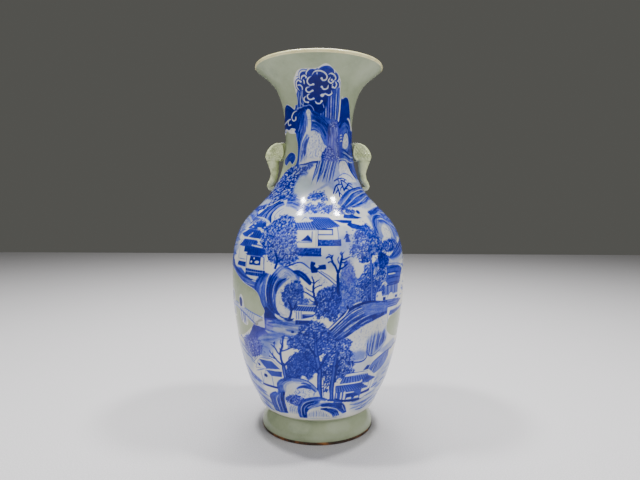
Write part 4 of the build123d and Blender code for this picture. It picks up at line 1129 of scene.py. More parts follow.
def shoulder_middle(p):
    """Mist, small woods and the ridges on the front of the shoulder."""
    p.fill([(-30, 384), (-26, 402), (-14, 406), (0, 400), (14, 384), (22, 374), (18, 366), (0, 364),
            (-14, 366), (-22, 372)], 0.1, soft=6, round_=True, mottle=0.3)
    p.fill([(-28, 380), (-26, 398), (-14, 402), (-6, 392), (-10, 380), (-20, 376)], 0.8, soft=8,
           round_=True, cover=0.8, layer=p.grey)
    woods = [(-12, 352, 3.6, 5), (-7.5, 357, 3.4, 4.6), (-2, 352, 3.8, 5), (2.6, 359, 3, 3.6),
             (7, 352, 4.2, 5.4), (12.6, 356, 4, 4.4), (17, 349, 4, 5), (21.6, 354, 3.6, 3.6),
             (26.4, 349, 3.8, 5), (31, 345, 3, 4)]
    for a, z, half, rise in woods:
        clump = [(a + half * cos(radians(t)),
                  z + rise * sin(radians(t)) * (1 if t < 180 else 0.7)) for t in range(0, 360, 45)]
        leaves(p, clump, 2.2, 0.46, dark=(0.6, 0.92), light=(0.08, 0.36), size=3.2, lean=(-30, 60),
               ragged=2.6)
    for centre in ((-8, 371), (-4, 375), (-3, 369), (1, 372), (4, 376), (6, 369)):
        leaves(p, outline_round(centre, [(-2.4, -2), (-1, 2.4), (2.2, 2), (2, -2)]), 2.4, 0.4,
               dark=(0.6, 0.86), size=3.4, lean=(-10, 40), ragged=1.8)
    p.stroke([(-3, 375), (1, 377), (4.6, 371)], 1.6, 0.85)
    for i in range(5):
        p.stroke([(24 - i * 4, 402 - i * 3), (16 - i * 3.6, 394 - i * 2.6), (8 - i * 3, 387 - i * 1.6)],
                 2.6, 0.3 + 0.06 * (i % 2), ends=(0.3, 0.1), soft=2, dry=0.4)
    waves = [
        ([(18, 362), (26, 373), (35, 381), (46, 385), (60, 388), (88, 390)],
         [(20, 358), (28, 368), (37, 376), (47, 381), (60, 384), (88, 386)]),
        ([(21, 358), (30, 368), (39, 376), (49, 380), (62, 383), (88, 384)],
         [(24, 356), (32, 364), (41, 371), (51, 376), (63, 379), (88, 380)]),
        ([(25, 357), (34, 364.6), (43, 371), (53, 375), (64, 378), (88, 379)],
         [(29, 357), (37, 361), (46, 366), (56, 371), (66, 374), (88, 375)]),
        ([(31, 357), (40, 361.6), (49, 366), (58, 370), (68, 373), (88, 374)],
         [(37, 358), (45, 360.4), (54, 364), (63, 367), (72, 369), (88, 370)]),
    ]
    for first, second in waves:
        veil(p, first, second, (0.92, 0.5), 3, 0.35, 0.1)
        p.stroke(shifted(first, -0.4, 0.9), 1.3, 0.12, ends=(0.5, 0.3), dry=0.3)
    p.fill([(28, 346), (36, 355), (48, 358), (60, 364), (86, 366), (86, 359), (60, 356), (46, 351),
            (40, 345), (32, 338)], 0.05, soft=2)
    veil(p, [(40, 357), (52, 361), (64, 366), (86, 368)], [(46, 354), (56, 357), (66, 361), (86, 363)],
         (0.35, 0.15), 3, 0.5, 0.15)
    for path, width in [
        ([(16.6, 377), (19, 383), (22, 388.6), (26, 390.6), (31, 391)], 1.9),
        ([(22.6, 372), (23.8, 381), (23, 389)], 1.9),
        ([(31, 381.6), (31, 390), (30.6, 398)], 2.3),
        ([(21, 396), (26, 399), (33, 400.6), (39, 399)], 1.9),
        ([(31, 397.6), (35, 396), (39.6, 391)], 2.1),
        ([(38.6, 390), (43, 393), (49, 391.4)], 1.7),
        ([(40, 391), (44.6, 387.6), (49, 383.4)], 1.9),
        ([(30.6, 382), (35.6, 386.6), (41, 390.6)], 2.1),
        ([(33, 384), (36.6, 384.4), (40, 381.6)], 1.5),
        ([(24, 384), (20.6, 379), (18.6, 376)], 1.4),
        ([(24, 378), (26.6, 374)], 1.3),
        ([(30.6, 388), (27.6, 385), (26, 381)], 1.3),
        ([(26, 390.6), (27.6, 395), (25.6, 398)], 1.3),
        ([(35, 396), (37.6, 398), (41, 398)], 1.3),
    ]:
        p.stroke(path, width, 1.0, ends=(0.9, 0.4))


def right_rock(p):
    """The rolling rocks on the right of the shoulder."""
    p.fill([(40, 316), (40, 344), (50, 350), (62, 356), (92, 356), (92, 300), (76, 296), (62, 300),
            (50, 306)], 0.45, soft=4, mottle=0.4)
    forms = [
        ([(41, 318), (41, 330), (44, 339), (51, 345), (61, 344), (68, 334)],
         [(45, 319), (46, 328), (49, 334), (54, 337), (60, 334), (64, 326)], (0.82, 0.5), 5),
        ([(50, 338), (57, 339), (63, 333), (66, 322), (66, 310)],
         [(53, 331), (57, 331), (60, 326), (61, 318), (60, 311)], (0.72, 0.3), 5),
        ([(44, 350), (54, 356), (66, 360), (90, 360)], [(46, 344), (56, 348), (68, 351), (90, 350)],
         (0.88, 0.6), 5),
        ([(62, 347), (72, 347), (90, 345)], [(67, 336), (75, 334), (90, 330)], (0.75, 0.45), 5),
        ([(67, 332), (74, 327), (90, 318)], [(67, 318), (71, 312), (80, 304)], (0.7, 0.5), 6),
    ]
    for first, second, tone, count in forms:
        veil(p, first, second, tone, count, 0.4, 0.2)
        p.stroke(shifted(first, -0.3, 0.9), 1.3, 0.12, ends=(0.6, 0.4), dry=0.3)
    p.stroke([(43, 320), (43, 331), (46, 339), (52, 343)], 2.2, 0.95)
    p.fill([(48, 316), (48.6, 325), (52.6, 330.6), (57, 329), (58.6, 321), (57, 313), (52, 311)], 0.06,
           round_=True, soft=1.5)
    dots(p, [(49, 319), (52, 328), (57, 327), (57, 316)], 3.0, (0.4, 0.7), 3, 0.9, (0, 60))
    p.fill([(46, 308), (50, 316), (56, 311), (64, 306), (70, 312), (76, 306), (66, 298), (56, 302)], 0.08,
           soft=2, round_=True)
    leaves(p, [(44, 298), (47, 306), (55, 310), (64, 306), (64, 298), (54, 293), (48, 293)], 2.0, 0.64,
           size=3.2)
    veil(p, [(50, 284), (58, 292), (66, 300), (76, 306), (92, 308)],
         [(54, 280), (62, 283), (70, 287), (80, 291), (92, 293)], (0.85, 0.5), 7, 0.4, 0.2)
    p.fill([(48, 275), (52, 281), (64, 283), (80, 288), (92, 290), (92, 276), (70, 277)], 0.25, soft=4,
           mottle=0.4)
    streaks(p, [(62, 206), (66, 290), (92, 290), (92, 208), (76, 204)], 26, 26, 2.6, (0.15, 0.55))


def bridge(p):
    """The plank bridge over the left lake, with a lattice rail, posts and two walkers."""
    deck = [(-106, 200), (-84, 205.4), (-66, 206.6), (-54, 200.6), (-46, 192.6), (-42, 187.6)]
    rail = [(-106, 206.6), (-84, 212), (-66, 213.4), (-56, 210), (-46, 204.6), (-35, 198.4)]
    p.fill([(-110, 194), (-110, 214), (-60, 218), (-34, 204), (-34, 184), (-60, 190)], 0.1)
    p.bar(deck, 1.7, 0.72)
    p.bar(rail, 1.2, 0.6)
    low, high = smooth(deck, 2.6), smooth(rail, 2.6)
    for i in range(0, len(low) - 2, 2):
        j = min(i, len(high) - 3)
        p.bar([tuple(low[i]), tuple(high[j + 2])], 0.8, 0.42)
        p.bar([tuple(high[j]), tuple(low[i + 2])], 0.8, 0.42)
    for a, z in [(-56.4, 209), (-71, 214)]:
        p.fill([(a - 4, z - 2), (a - 4, z + 21), (a + 4, z + 21), (a + 4, z - 2)], 0.06)
        p.dab(a - 0.4, z + 14.4, 3.4, 3.0, 1.57, 0.2)
        p.fill([(a - 1.6, z), (a - 2.2, z + 7), (a - 1.4, z + 12.6), (a + 0.8, z + 12.8), (a + 1.8, z + 7),
                (a + 1.0, z)], 0.96, round_=True)
    for a in (-57.2, -54.2, -52.4, -73, -70.4):
        low_end = np.interp(a, [q[0] for q in deck], [q[1] for q in deck])
        p.stroke([(a, low_end), (a + 0.2, low_end - 9), (a + 0.3, low_end - 16)], 1.8, 0.85,
                 ends=(0.9, 0.8))


def dome(p, centre, half, rise):
    """A puff of cloud: a blue lobe with a white edge and a thin blue line round it."""
    a, z = centre

    def arc(wide, high, first, last):
        turns = [radians(t) for t in range(first, last, 20)]
        return [(a + wide * cos(t), z + high * sin(t)) for t in turns]

    lobe = arc(half, rise, -20, 201)
    p.fill(lobe, 0.86, mottle=0.2)
    p.stroke(lobe, 1.9, 0.03, ends=(0.8, 0.8))
    p.stroke(arc(half + 0.9, rise + 1.3, 0, 181), 0.8, 0.8, ends=(0.6, 0.6))


def cloud_field(p):
    """Dark sky with white cloud scrolls, on the head of the front panel."""
    field = [(-35, 500), (-36, 512), (-32, 530), (-30, 541), (-26, 547), (-19, 555), (-8, 556), (0, 556),
             (8, 559), (18, 554.6), (25, 547), (29, 538), (32, 520), (33, 486), (10, 490), (-6, 496),
             (-22, 505)]
    p.fill(field, 0.93, soft=1.0)
    veil(p, [(-38, 502), (-36, 515), (-32, 530), (-27, 541)],
         [(-27, 500), (-27, 514), (-25, 526), (-22, 534)], (0.8, 0.55), 5, 0.5, 0.25)
    veil(p, [(32, 486), (32, 505), (31, 522), (27, 540)], [(12, 490), (12, 503), (14, 517), (17, 529)],
         (0.5, 0.86), 9, 0.5, 0.22)
    p.fill([(11, 492), (13, 512), (18, 524), (24, 512), (22, 490)], 0.62, cover=0.5, soft=5, violet=0.9)
    for i in range(15):
        a = 3 + i * 2.0
        top = 524 + 0.9 * i - 0.06 * (i - 8) ** 2
        p.stroke([(a + 0.4, 488), (a + 0.3, 503), (a - 1.4, top)], 1.7, (0.25, 0.8, 0.5, 0.9)[i % 4],
                 ends=(0.8, 0.2), dry=0.35)
    for i in range(7):
        p.stroke([(-34 + i * 1.7, 502 + i), (-32.6 + i * 1.6, 516), (-28 + i * 1.0, 530)], 1.4,
                 (0.3, 0.92, 0.6)[i % 3], ends=(0.4, 0.3), dry=0.35)
    p.fill([(-14, 505), (-20, 513), (-22, 528), (-17, 545), (-8, 553), (4, 554), (14, 549), (17, 536),
            (14, 524), (11, 508), (2, 500)], 1.0, soft=4, round_=True)
    for centre, half, rise in [((-26.6, 534), 4.4, 5), ((23, 538), 5.2, 6.4), ((-24.4, 542), 6, 6.6),
                               ((17, 547), 8, 8.4), ((-16.6, 548), 7, 8), ((-7, 550), 7.6, 8.2),
                               ((8, 552.6), 10, 9.4)]:
        dome(p, centre, half, rise)
    p.fill([(-14, 520), (-20, 530), (-15, 544), (-6, 550), (6, 550), (14, 545), (16, 532), (8, 522)], 1.0,
           soft=3, round_=True)
    p.fill([(-34.6, 528), (-35, 540), (-30, 550), (-27, 549), (-29, 541), (-31, 530)], 0.02, round_=True)
    scrolls = [
        [(-27, 531), (-30, 536), (-29.6, 542), (-26, 545), (-23, 543)],
        [(-22, 545), (-20, 549), (-16.4, 550), (-14.6, 547)],
        [(-8, 550), (-5, 554), (0, 555.4), (6, 553.4), (9.6, 549), (8.8, 544.6), (5, 543.6), (3.4, 546)],
        [(-8.6, 549), (-13, 546), (-14.4, 541.6), (-11.6, 537.6), (-7, 538.4)],
        [(-11.4, 535.4), (-16.4, 534), (-17.4, 530.4), (-13.6, 527.8), (-8.4, 530)],
        [(-12, 526), (-15.8, 524), (-16, 520.4), (-12.4, 517.6), (-7.4, 519)],
        [(-18.6, 523), (-21.8, 519.6), (-20.6, 515.2), (-16, 514)],
        [(10.6, 551), (14, 552.6), (18.4, 550.6), (20.6, 547), (19, 543.6), (16, 544.6)],
        [(14, 548), (12, 543), (16, 540.6), (18.4, 543)],
        [(20.6, 543.4), (23.6, 539), (22, 534.6), (18.8, 535.4)],
        [(12.6, 538), (11.6, 533.4), (7, 531.8), (4, 535)],
        [(17.6, 530.6), (18.4, 526.6), (14.4, 524), (9, 525.6), (4.6, 523)],
        [(-5.4, 515.6), (-2.4, 512.2), (2, 512.2), (4.6, 515.4)],
    ]
    for path in scrolls:
        scroll(p, path)
    p.dab(5, 523.4, 5.6, 4.4, 0.1, 0.02)
    for path in [[(-27, 524), (-28, 515), (-22, 509), (-14, 510), (-9, 506), (-6, 499), (-2, 497.4)],
                 [(6, 512), (8, 506), (5.4, 501)], [(-23, 531), (-24.6, 522), (-22.4, 516)]]:
        p.stroke(path, 1.2, 0.2, ends=(0.6, 0.6))
    p.fill([(-2, 499), (0, 506), (5, 508), (9, 503), (5, 498)], 0.97, round_=True)


def neck_mountain(p):
    """The white peak and the falls on the front of the neck."""
    p.fill([(-42, 470), (-42, 500), (-30, 506), (-8, 502), (12, 492), (34, 487), (34, 428), (10, 426),
            (-20, 420), (-36, 420), (-38, 448)], 0.74, mottle=0.35)
    veil(p, [(-40, 474), (-40, 492), (-34, 502), (-25, 506)],
         [(-24, 466), (-24, 482), (-21, 492), (-19, 500)], (0.95, 0.8), 6, 0.4, 0.16)
    p.stroke([(-38, 503), (-34, 506.4), (-27, 507.4), (-22, 509)], 1.4, 0.2)
    for path, wide in [([(-38, 466), (-33, 476), (-30, 488)], 1.4),
                       ([(-33, 460), (-30, 470), (-27, 480)], 1.2)]:
        p.stroke(path, wide, 0.4, dry=0.4)
    p.fill([(-22.4, 486), (-21, 497), (-18, 503.6), (-15.4, 504.4), (-12.6, 501), (-10, 493), (-9, 486),
            (-15, 482)], 0.04, soft=1.4, round_=True)
    p.fill([(-20.6, 468), (-19.6, 482), (-19, 492), (-11, 493), (-11.6, 480), (-13, 468)], 0.04, soft=1.6)
    hatch(p, [(-22.6, 496), (-23.6, 484), (-22.6, 470)], [(-17.6, 500), (-19, 486), (-19.6, 472)], 14,
          (0.4, 0.9), 1.2, 0.5)
    hatch(p, [(-13.4, 500), (-11.8, 488), (-11.4, 476)], [(-10, 494), (-9.6, 486), (-10, 478)], 12,
          (0.4, 0.9), 1.2, 0.5)
    for i in range(6):
        p.stroke([(-24.4 + i * 1.1, 501 - i * 0.4), (-22 + i * 0.9, 492 - i * 1.4),
                  (-20.6 + i * 0.6, 484 - i * 2)], 0.9, 0.5, dry=0.4)
        p.stroke([(-9.4 - i * 0.3, 498 - i * 3.2), (-11 - i * 0.2, 494 - i * 3.4)], 0.9, 0.45)
    p.dabs(p.scatter([(-17, 486), (-16, 502), (-10, 496), (-12, 484)], 2.2), 2.6, 0.7, (-20, 20),
           (0.25, 0.5))
    arcs = [
        ([(-9, 499), (-2, 494.4), (6, 489), (14, 482), (20, 472)],
         [(-10, 488), (-4, 486), (3, 481), (9, 474), (14, 466)], (0.95, 0.66)),
        ([(-10.6, 485), (-4, 484), (3, 479), (9, 471), (13, 462)],
         [(-11, 476), (-6, 476), (0, 472), (5, 466), (9, 459)], (0.96, 0.5)),
        ([(-11.4, 474), (-6, 474.4), (-1, 471), (4, 465.6), (8, 459)],
         [(-12, 470.6), (-8, 471), (-3, 468.6), (1, 465), (5, 459)], (0.8, 0.3)),
    ]
    for first, second, tone in arcs:
        veil(p, first, second, tone, 5, 0.45, 0.14)
        p.stroke(between_paths(first, second, 1.06), 1.2, 0.1, ends=(0.8, 0.2), dry=0.4)
    p.fill([(-30, 421), (-31, 444), (-28, 458), (-21, 471), (-10, 472), (2, 466), (6, 450), (4, 425),
            (-12, 424)], 0.1, soft=1.2)
    veil(p, [(-36.6, 424), (-35, 440), (-35, 454), (-33, 468)],
         [(-30.6, 424), (-30, 440), (-28.4, 455), (-23, 470)], (0.95, 0.62), 5, 0.35, 0.16)
    p.stroke([(-29.6, 424), (-29.4, 442), (-27.2, 456), (-22, 468)], 1.0, 0.12, ends=(0.8, 0.5))
    veil(p, [(-28, 426), (-28, 442), (-25.6, 455), (-19, 467)],
         [(-23, 430), (-23.4, 444), (-21.4, 454), (-15, 465)], (0.8, 0.3), 4, 0.35, 0.14)
    p.stroke([(-21.6, 434), (-21.8, 444), (-19.8, 454), (-15.4, 462)], 5.2, 0.84, ends=(0.3, 0.4), dry=0.25)
    p.stroke([(-19, 436), (-19.4, 446), (-17.2, 455)], 1.4, 0.4, dry=0.4)
    falls = [(-17.4, 430), (-17.8, 444), (-15.6, 457), (-10.4, 467), (-4, 470), (2, 465), (6.6, 457),
             (9.6, 451), (14, 448), (12, 442), (6, 440), (4, 434), (3, 427), (-10, 427)]
    p.fill(falls, 0.02, round_=True)
    p.dabs(p.scatter(falls, 2.4), 2.8, 0.8, (80, 100), (0.35, 0.65))
    p.fill([(-29, 422.4), (-24, 431), (-14, 430), (2, 430), (4, 426.6), (-8, 425.6), (-20, 422.6)], 0.04,
           soft=1)
    for i in range(5):
        p.stroke([(-29 + i * 2.4, 423 + i * 0.5), (-28 + i * 2.3, 433 + i * 1.5)], 1.0, 0.5, dry=0.5)
    p.stroke([(-31, 420.6), (-20, 422), (-8, 425), (4, 425.4), (14, 428)], 2.0, 0.92)
    woods = [(5, 428), (8, 440), (13, 448), (12, 460), (16, 474), (24, 486), (34, 488), (41, 478),
             (43, 460), (41, 440), (34, 428), (16, 425)]
    p.fill(woods, 0.6, soft=3, round_=True, mottle=0.35, violet=0.5, rough=2)
    veil(p, [(15, 482), (17, 470), (17, 456), (16, 444), (16, 432)],
         [(32, 487), (36, 474), (37, 460), (35, 444), (30, 430)], (0.85, 0.5), 9, 0.5, 0.28)
    p.fill([(19, 442), (20, 458), (25, 470), (28, 462), (27, 446)], 0.4, soft=4, round_=True, cover=0.6,
           violet=0.9, mottle=0.4)
    for clump in (
        [(5, 428), (7, 439), (13, 446), (19, 447), (25, 440), (24, 430), (14, 426)],
        [(31, 452), (33, 464), (37, 476), (42, 474), (44, 462), (41, 450), (35, 446)],
        [(28, 430), (31, 441), (38, 446), (43, 440), (40, 430)],
        [(18, 478), (22, 487), (30, 488), (29, 478)],
    ):
        leaves(p, clump, 1.7, 0.66, lean=(-20, 70), size=2.6, specks=1.4, ragged=1.8)
    p.fill([(2, 422), (-2, 410), (-5, 398), (12, 392), (21, 402), (28, 420)], 0.28, soft=6, mottle=0.4,
           round_=True)
    for i in range(18):
        share = i / 17
        low = 389 + 12 * p.rng.random() + 4 * share
        path = [(-1 + 29 * share, 426), (-4 + 27 * share, 412), (-9 + 27 * share, low)]
        p.stroke(path, 2.2, (0.88, 0.3, 0.7, 0.16, 0.8)[i % 5], ends=(0.8, 0.0), soft=1.0, dry=0.5)


def right_neck(p):
    """The dark peak, pale cliffs and ridges on the right of the neck."""
    p.fill([(33, 484), (32, 516), (36, 522), (43, 524.6), (51, 521.6), (60, 507), (69, 489), (52, 492),
            (40, 486)], 0.94, mottle=0.1, round_=True, soft=1)
    p.fill([(38, 506), (42, 518), (50, 516), (54, 506), (46, 500)], 0.84, soft=4, round_=True, mottle=0.4)
    p.bar([(33.6, 488), (34.4, 504), (33.6, 519)], 2.4, 0.04)
    p.fill([(34, 428), (34, 484), (44, 490), (54, 495), (60, 494), (68, 489), (82, 478), (98, 467),
            (100, 428)], 0.62, mottle=0.35)
    p.fill([(52, 489), (55, 495), (64, 492), (78, 481), (74, 476), (62, 482)], 0.06, soft=2, round_=True)
    veil(p, [(36, 480), (44, 489), (55, 490), (66, 482)], [(40, 470), (47, 477), (55, 477), (62, 470)],
         (0.9, 0.5), 5, 0.4, 0.2)
    cliff = [(42, 450), (43.4, 460), (47, 469), (52.6, 472), (57.6, 468), (59, 459), (55, 450), (49, 447)]
    p.fill(cliff, 0.03, round_=True)
    dots(p, cliff, 2.4, (0.3, 0.55), 2.4, 0.8, (70, 110))
    p.stroke(cliff[:6], 1.2, 0.85)
    for z in (457, 462, 466):
        p.stroke([(37, z), (40, z + 1.6), (43, z + 1)], 1.5, 0.05)
    veil(p, [(60, 474), (63, 460), (61, 448), (55, 442)], [(76, 476), (80, 462), (80, 448), (76, 440)],
         (0.95, 0.5), 6, 0.35, 0.18)
    veil(p, [(80, 474), (84, 460), (86, 446)], [(96, 466), (98, 452), (100, 438)], (0.75, 0.35), 5, 0.4,
         0.2)
    p.strokes([
        ([(40, 446), (48, 444), (56, 440), (70, 438), (86, 440)], 2.6, 0.92),
        ([(38, 440), (48, 437), (58, 433), (74, 432), (90, 434)], 2.6, 0.85),
        ([(42, 441.4), (52, 439), (64, 435), (80, 436)], 1.2, 0.08),
        ([(30, 428.6), (38, 430.6), (48, 430), (58, 426.6), (74, 428)], 1.6, 0.08),
    ], ends=(0.4, 0.3), dry=0.2)


def lower_neck(p):
    """Where the neck meets the shoulder: pale hills, ridges and small woods."""
    p.fill([(-62, 390), (-56, 411), (-45, 418), (-36, 421), (-8, 424), (14, 426), (34, 430), (60, 428),
            (102, 428), (102, 380), (30, 374), (-30, 380)], 0.36, soft=8, mottle=0.4)
    leaves(p,
           [(-64, 390), (-60, 402), (-54, 411), (-46, 417), (-36, 420), (-28, 416), (-29, 404), (-38, 394)],
           2.1, 0.66, light=(0.36, 0.66), lean=(10, 60), size=3.6, ragged=1.2)
    p.fill([(-34, 419), (-20, 420), (-17, 415), (-26, 411), (-34, 412)], 0.3, soft=3)
    for centre in [(-20, 414), (-17, 405), (-11, 417)]:
        leaves(p, outline_round(centre, [(-3.4, -3), (-4, 2), (0, 4), (4, 2), (3, -3)]), 1.5, 0.75,
               size=2.2, ragged=0.8)
    p.fill([(-15, 392), (-14, 410), (-7, 419), (-1, 422), (6, 416), (6, 402), (0, 392)], 0.04, soft=4,
           round_=True)
    p.stroke([(-4, 420), (-1, 415), (-3, 411)], 1.8, 0.75)
    peak = [(30, 397), (32, 408), (30, 416), (32, 424), (38, 429), (46, 428), (51, 421), (54, 412),
            (60, 404), (62, 396)]
    p.fill(peak, 0.04, round_=True)
    dots(p, peak, 3.0, (0.25, 0.5), 2.4, 0.8, (70, 110))
    p.stroke([(31, 414), (32.6, 424), (38, 429.4), (46, 428.4), (51.4, 421), (55, 412), (61, 404)], 1.5,
             0.85)
    p.stroke([(24, 398), (30, 404), (38, 408), (46, 407), (54, 402), (60, 398)], 1.3, 0.6)
    veil(p, [(54, 426), (58, 414), (66, 402)], [(78, 430), (86, 416), (96, 400)], (0.9, 0.5), 7, 0.4, 0.22)


def left_neck(p):
    """The dark side peak with its cloud scroll, and the small rock below it."""
    p.fill([(-38, 500), (-46, 508.6), (-58, 514.6), (-68, 511), (-77, 499), (-92, 490), (-94, 476),
            (-44, 476), (-38, 486)], 0.96, mottle=0.08, round_=True, soft=1)
    p.fill([(-36, 470), (-36, 504), (-42, 504), (-44, 490), (-42, 472)], 0.86, soft=3, mottle=0.3,
           round_=True)
    p.stroke([(-60, 512), (-52, 508), (-44, 503)], 1.2, 0.7)
    scroll(p,
           [(-35.6, 503), (-41, 502), (-46, 498.6), (-48.4, 493.6), (-45, 489.4), (-40, 490), (-39, 494)],
           2.3, 2.6)
    scroll(p, [(-49, 492), (-56, 491.6), (-60, 487.6), (-57, 483.4), (-52, 484)], 2.2, 2.6)
    p.stroke([(-58, 491.4), (-68, 489), (-80, 487.4), (-92, 485)], 2.4, 0.03, ends=(1, 0.6))
    p.bar([(-42, 475.4), (-50, 477), (-58, 475), (-70, 478), (-84, 475), (-93, 479)], 3.0, 0.03)
    p.fill([(-38, 430), (-40.4, 437.6), (-50, 441.4), (-60, 438), (-69.6, 431), (-64, 424), (-58, 421),
            (-51, 426.6), (-43, 422)], 0.84, mottle=0.2, round_=True, soft=1)
    p.stroke([(-44, 436), (-50, 434), (-56, 431)], 2.0, 0.62, dry=0.3)


FRONT = [mist, lower_left_ground, lower_neck, right_rock, left_village, left_shoulder, shoulder_middle,
         cloud_field, neck_mountain, right_neck, left_neck, hanging_rock, centre_rock, bank_and_fence,
         middle_trees, small_pavilion, right_pavilion, upper_temple, right_tree, left_tree, dotted_hill,
         hamlet, centre_trees, bare_tree_left, left_rock, waterside_pavilion, front_rock, bridge]


def back_ground(p):
    """Washes of ground and water under the scenes on the back."""
    for outline, tone in [
        ([(78, 40), (78, 150), (120, 160), (180, 150), (240, 160), (278, 150), (278, 40)], 0.2),
        ([(80, 206), (80, 300), (120, 330), (150, 300), (148, 230), (120, 205)], 0.24),
        ([(208, 204), (208, 300), (240, 330), (272, 330), (256, 262), (256, 210)], 0.26),
        ([(74, 330), (74, 384), (130, 398), (230, 398), (286, 384), (286, 330), (180, 300)], 0.34),
        ([(140, 200), (140, 300), (180, 330), (216, 300), (216, 200)], 0.26),
    ]:
        p.fill(outline, tone, soft=12, mottle=0.5)
    streaks(p, [(92, 44), (92, 150), (110, 150), (112, 44)], 60, 32, 2.6, (0.3, 0.7), slope=0.1)
    streaks(p, [(76, 205), (76, 290), (112, 290), (112, 208)], 60, 28, 2.6, (0.3, 0.66), slope=-0.12)
    streaks(p, [(256, 300), (262, 350), (292, 350), (290, 268)], 50, 28, 2.6, (0.35, 0.7), slope=0.15)


def back_lake(p):
    """Banks and ripples round the bare water on the back."""
    shore = [(148, 226), (152, 262), (172, 278), (196, 264), (208, 232), (192, 204), (166, 200)]
    loop = smooth(shore, 6.0, closed=True)
    for offset, width, tone in [(1.03, 4.6, 0.62), (1.09, 2.0, 0.85), (1.15, 3.0, 0.4)]:
        ring = (loop - [178, 236]) * offset + [178, 236]
        half = len(ring) // 2
        p.stroke(ring[: half + 2], width, tone, (0.3, 0.3), soft=1.6, dry=0.4)
        p.stroke(ring[half:], width, tone, (0.3, 0.3), soft=1.6, dry=0.4)
    streaks(p, [(140, 262), (160, 290), (200, 290), (214, 262), (196, 276), (160, 276)], 40, 26, 2.2,
            (0.3, 0.75))
    veil(p, [(146, 278), (160, 288), (176, 292), (194, 288), (208, 278)],
         [(150, 272), (162, 281), (176, 284), (192, 281), (204, 272)], (0.85, 0.4), 4, 0.35, 0.14)


def flank_trees(p):
    """Clumps of leaves where the front scenes and the mirrored back ones meet."""
    for outline in [
        [(82, 384), (80, 392), (88, 397), (97, 392), (97, 384), (89, 380)],
        [(82, 340), (80, 356), (87, 364), (96, 358), (96, 342), (89, 336)],
        [(84, 312), (82, 326), (89, 332), (96, 326), (96, 314), (90, 308)],
        [(84, 262), (82, 280), (88, 290), (96, 282), (97, 266), (90, 256)],
        [(268, 356), (266, 372), (274, 380), (283, 372), (282, 358), (274, 350)],
        [(270, 296), (267, 316), (273, 330), (282, 320), (283, 300), (276, 290)],
        [(268, 118), (266, 136), (273, 146), (283, 138), (283, 120), (275, 112)],
        [(270, 62), (267, 82), (274, 92), (283, 84), (283, 64), (276, 56)],
    ]:
        leaves(p, outline, 1.9, 0.66, size=3.0)


def side_hills(p):
    """Wooded slopes on both flanks, between the front scene and the back one."""
    veils(p, [
        ([(74, 300), (84, 312), (96, 330), (108, 352)], [(84, 288), (94, 300), (106, 316), (118, 336)],
         (0.85, 0.4), 7),
        ([(74, 330), (82, 346), (92, 362), (100, 376)], [(82, 322), (90, 336), (100, 352), (110, 368)],
         (0.75, 0.35), 6),
        ([(268, 296), (262, 314), (256, 330), (250, 346)], [(280, 300), (276, 318), (270, 336), (262, 352)],
         (0.85, 0.4), 7),
        ([(290, 262), (280, 272), (268, 280), (258, 284)], [(292, 274), (282, 284), (270, 292), (260, 298)],
         (0.8, 0.5), 5),
        ([(78, 150), (90, 144), (102, 140), (114, 142)], [(78, 138), (90, 132), (102, 128), (114, 130)],
         (0.85, 0.3), 5),
    ], 0.35, 0.14)
    for outline in [
        [(78, 206), (80, 220), (88, 228), (97, 224), (98, 210), (88, 202)],
        [(90, 236), (90, 254), (98, 262), (108, 256), (108, 240), (98, 232)],
        [(84, 266), (84, 282), (94, 290), (104, 282), (102, 268), (92, 262)],
        [(268, 304), (268, 322), (276, 330), (286, 322), (286, 306), (276, 298)],
        [(80, 108), (80, 124), (88, 130), (98, 124), (98, 110), (88, 104)],
        [(256, 96), (258, 112), (266, 118), (276, 112), (276, 98), (266, 92)],
    ]:
        leaves(p, outline, 1.9, 0.64, size=3.0)
        centre = (outline[0][0] + outline[4][0]) / 2
        p.stroke([(centre, outline[0][1] - 8), (centre - 0.6, outline[0][1] + 4),
                  (centre + 0.4, outline[0][1] + 12)], 2.6, 0.92, ends=(1, 0.3))


def back_neck(p):
    """The ground of the peak on the back of the neck."""
    p.fill([(122, 392), (122, 470), (150, 520), (178, 546), (208, 520), (232, 470), (232, 392)], 0.78,
           mottle=0.3)
    veil(p, [(130, 396), (134, 430), (136, 466), (148, 498)],
         [(144, 396), (146, 430), (150, 462), (160, 490)], (0.92, 0.5), 6, 0.35, 0.18)
    veil(p, [(228, 396), (227, 430), (220, 470), (206, 500)],
         [(214, 396), (213, 430), (208, 462), (198, 490)], (0.92, 0.5), 6, 0.35, 0.18)


# Each entry: how far to move, in degrees and mm, 1 or -1 for mirrored, and the scenes painted there.
BACK = [
    (0, 0, 1, [back_ground, back_lake, back_neck, side_hills]),
    (182, 0, -1, [lower_left_ground, hanging_rock]),
    (172, 0, -1, [right_rock]),
    (190, 0, -1, [left_shoulder]),
    (166, 0, -1, [shoulder_middle]),
    (178, 0, -1, [lower_neck]),
    (180, -4, -1, [neck_mountain]),
    (180, -20, -1, [cloud_field]),
    (300, 0, -1, [right_pavilion]),
    (206, 0, -1, [left_tree, centre_rock]),
    (165, 118, 1, [hamlet]),
    (168, 0, -1, [right_tree]),
    (182, 10, -1, [upper_temple]),
    (182, 0, -1,
     [dotted_hill, hamlet, centre_trees, bare_tree_left, left_rock, waterside_pavilion, front_rock]),
]


def paint_vase(p):
    """The whole decoration: the back first, then the front over its ends."""
    for azimuth, height, mirror, scenes in BACK:
        p.put(azimuth, height, mirror)
        for scene in scenes:
            scene(p)
    p.put()
    for scene in FRONT:
        scene(p)
    flank_trees(p)


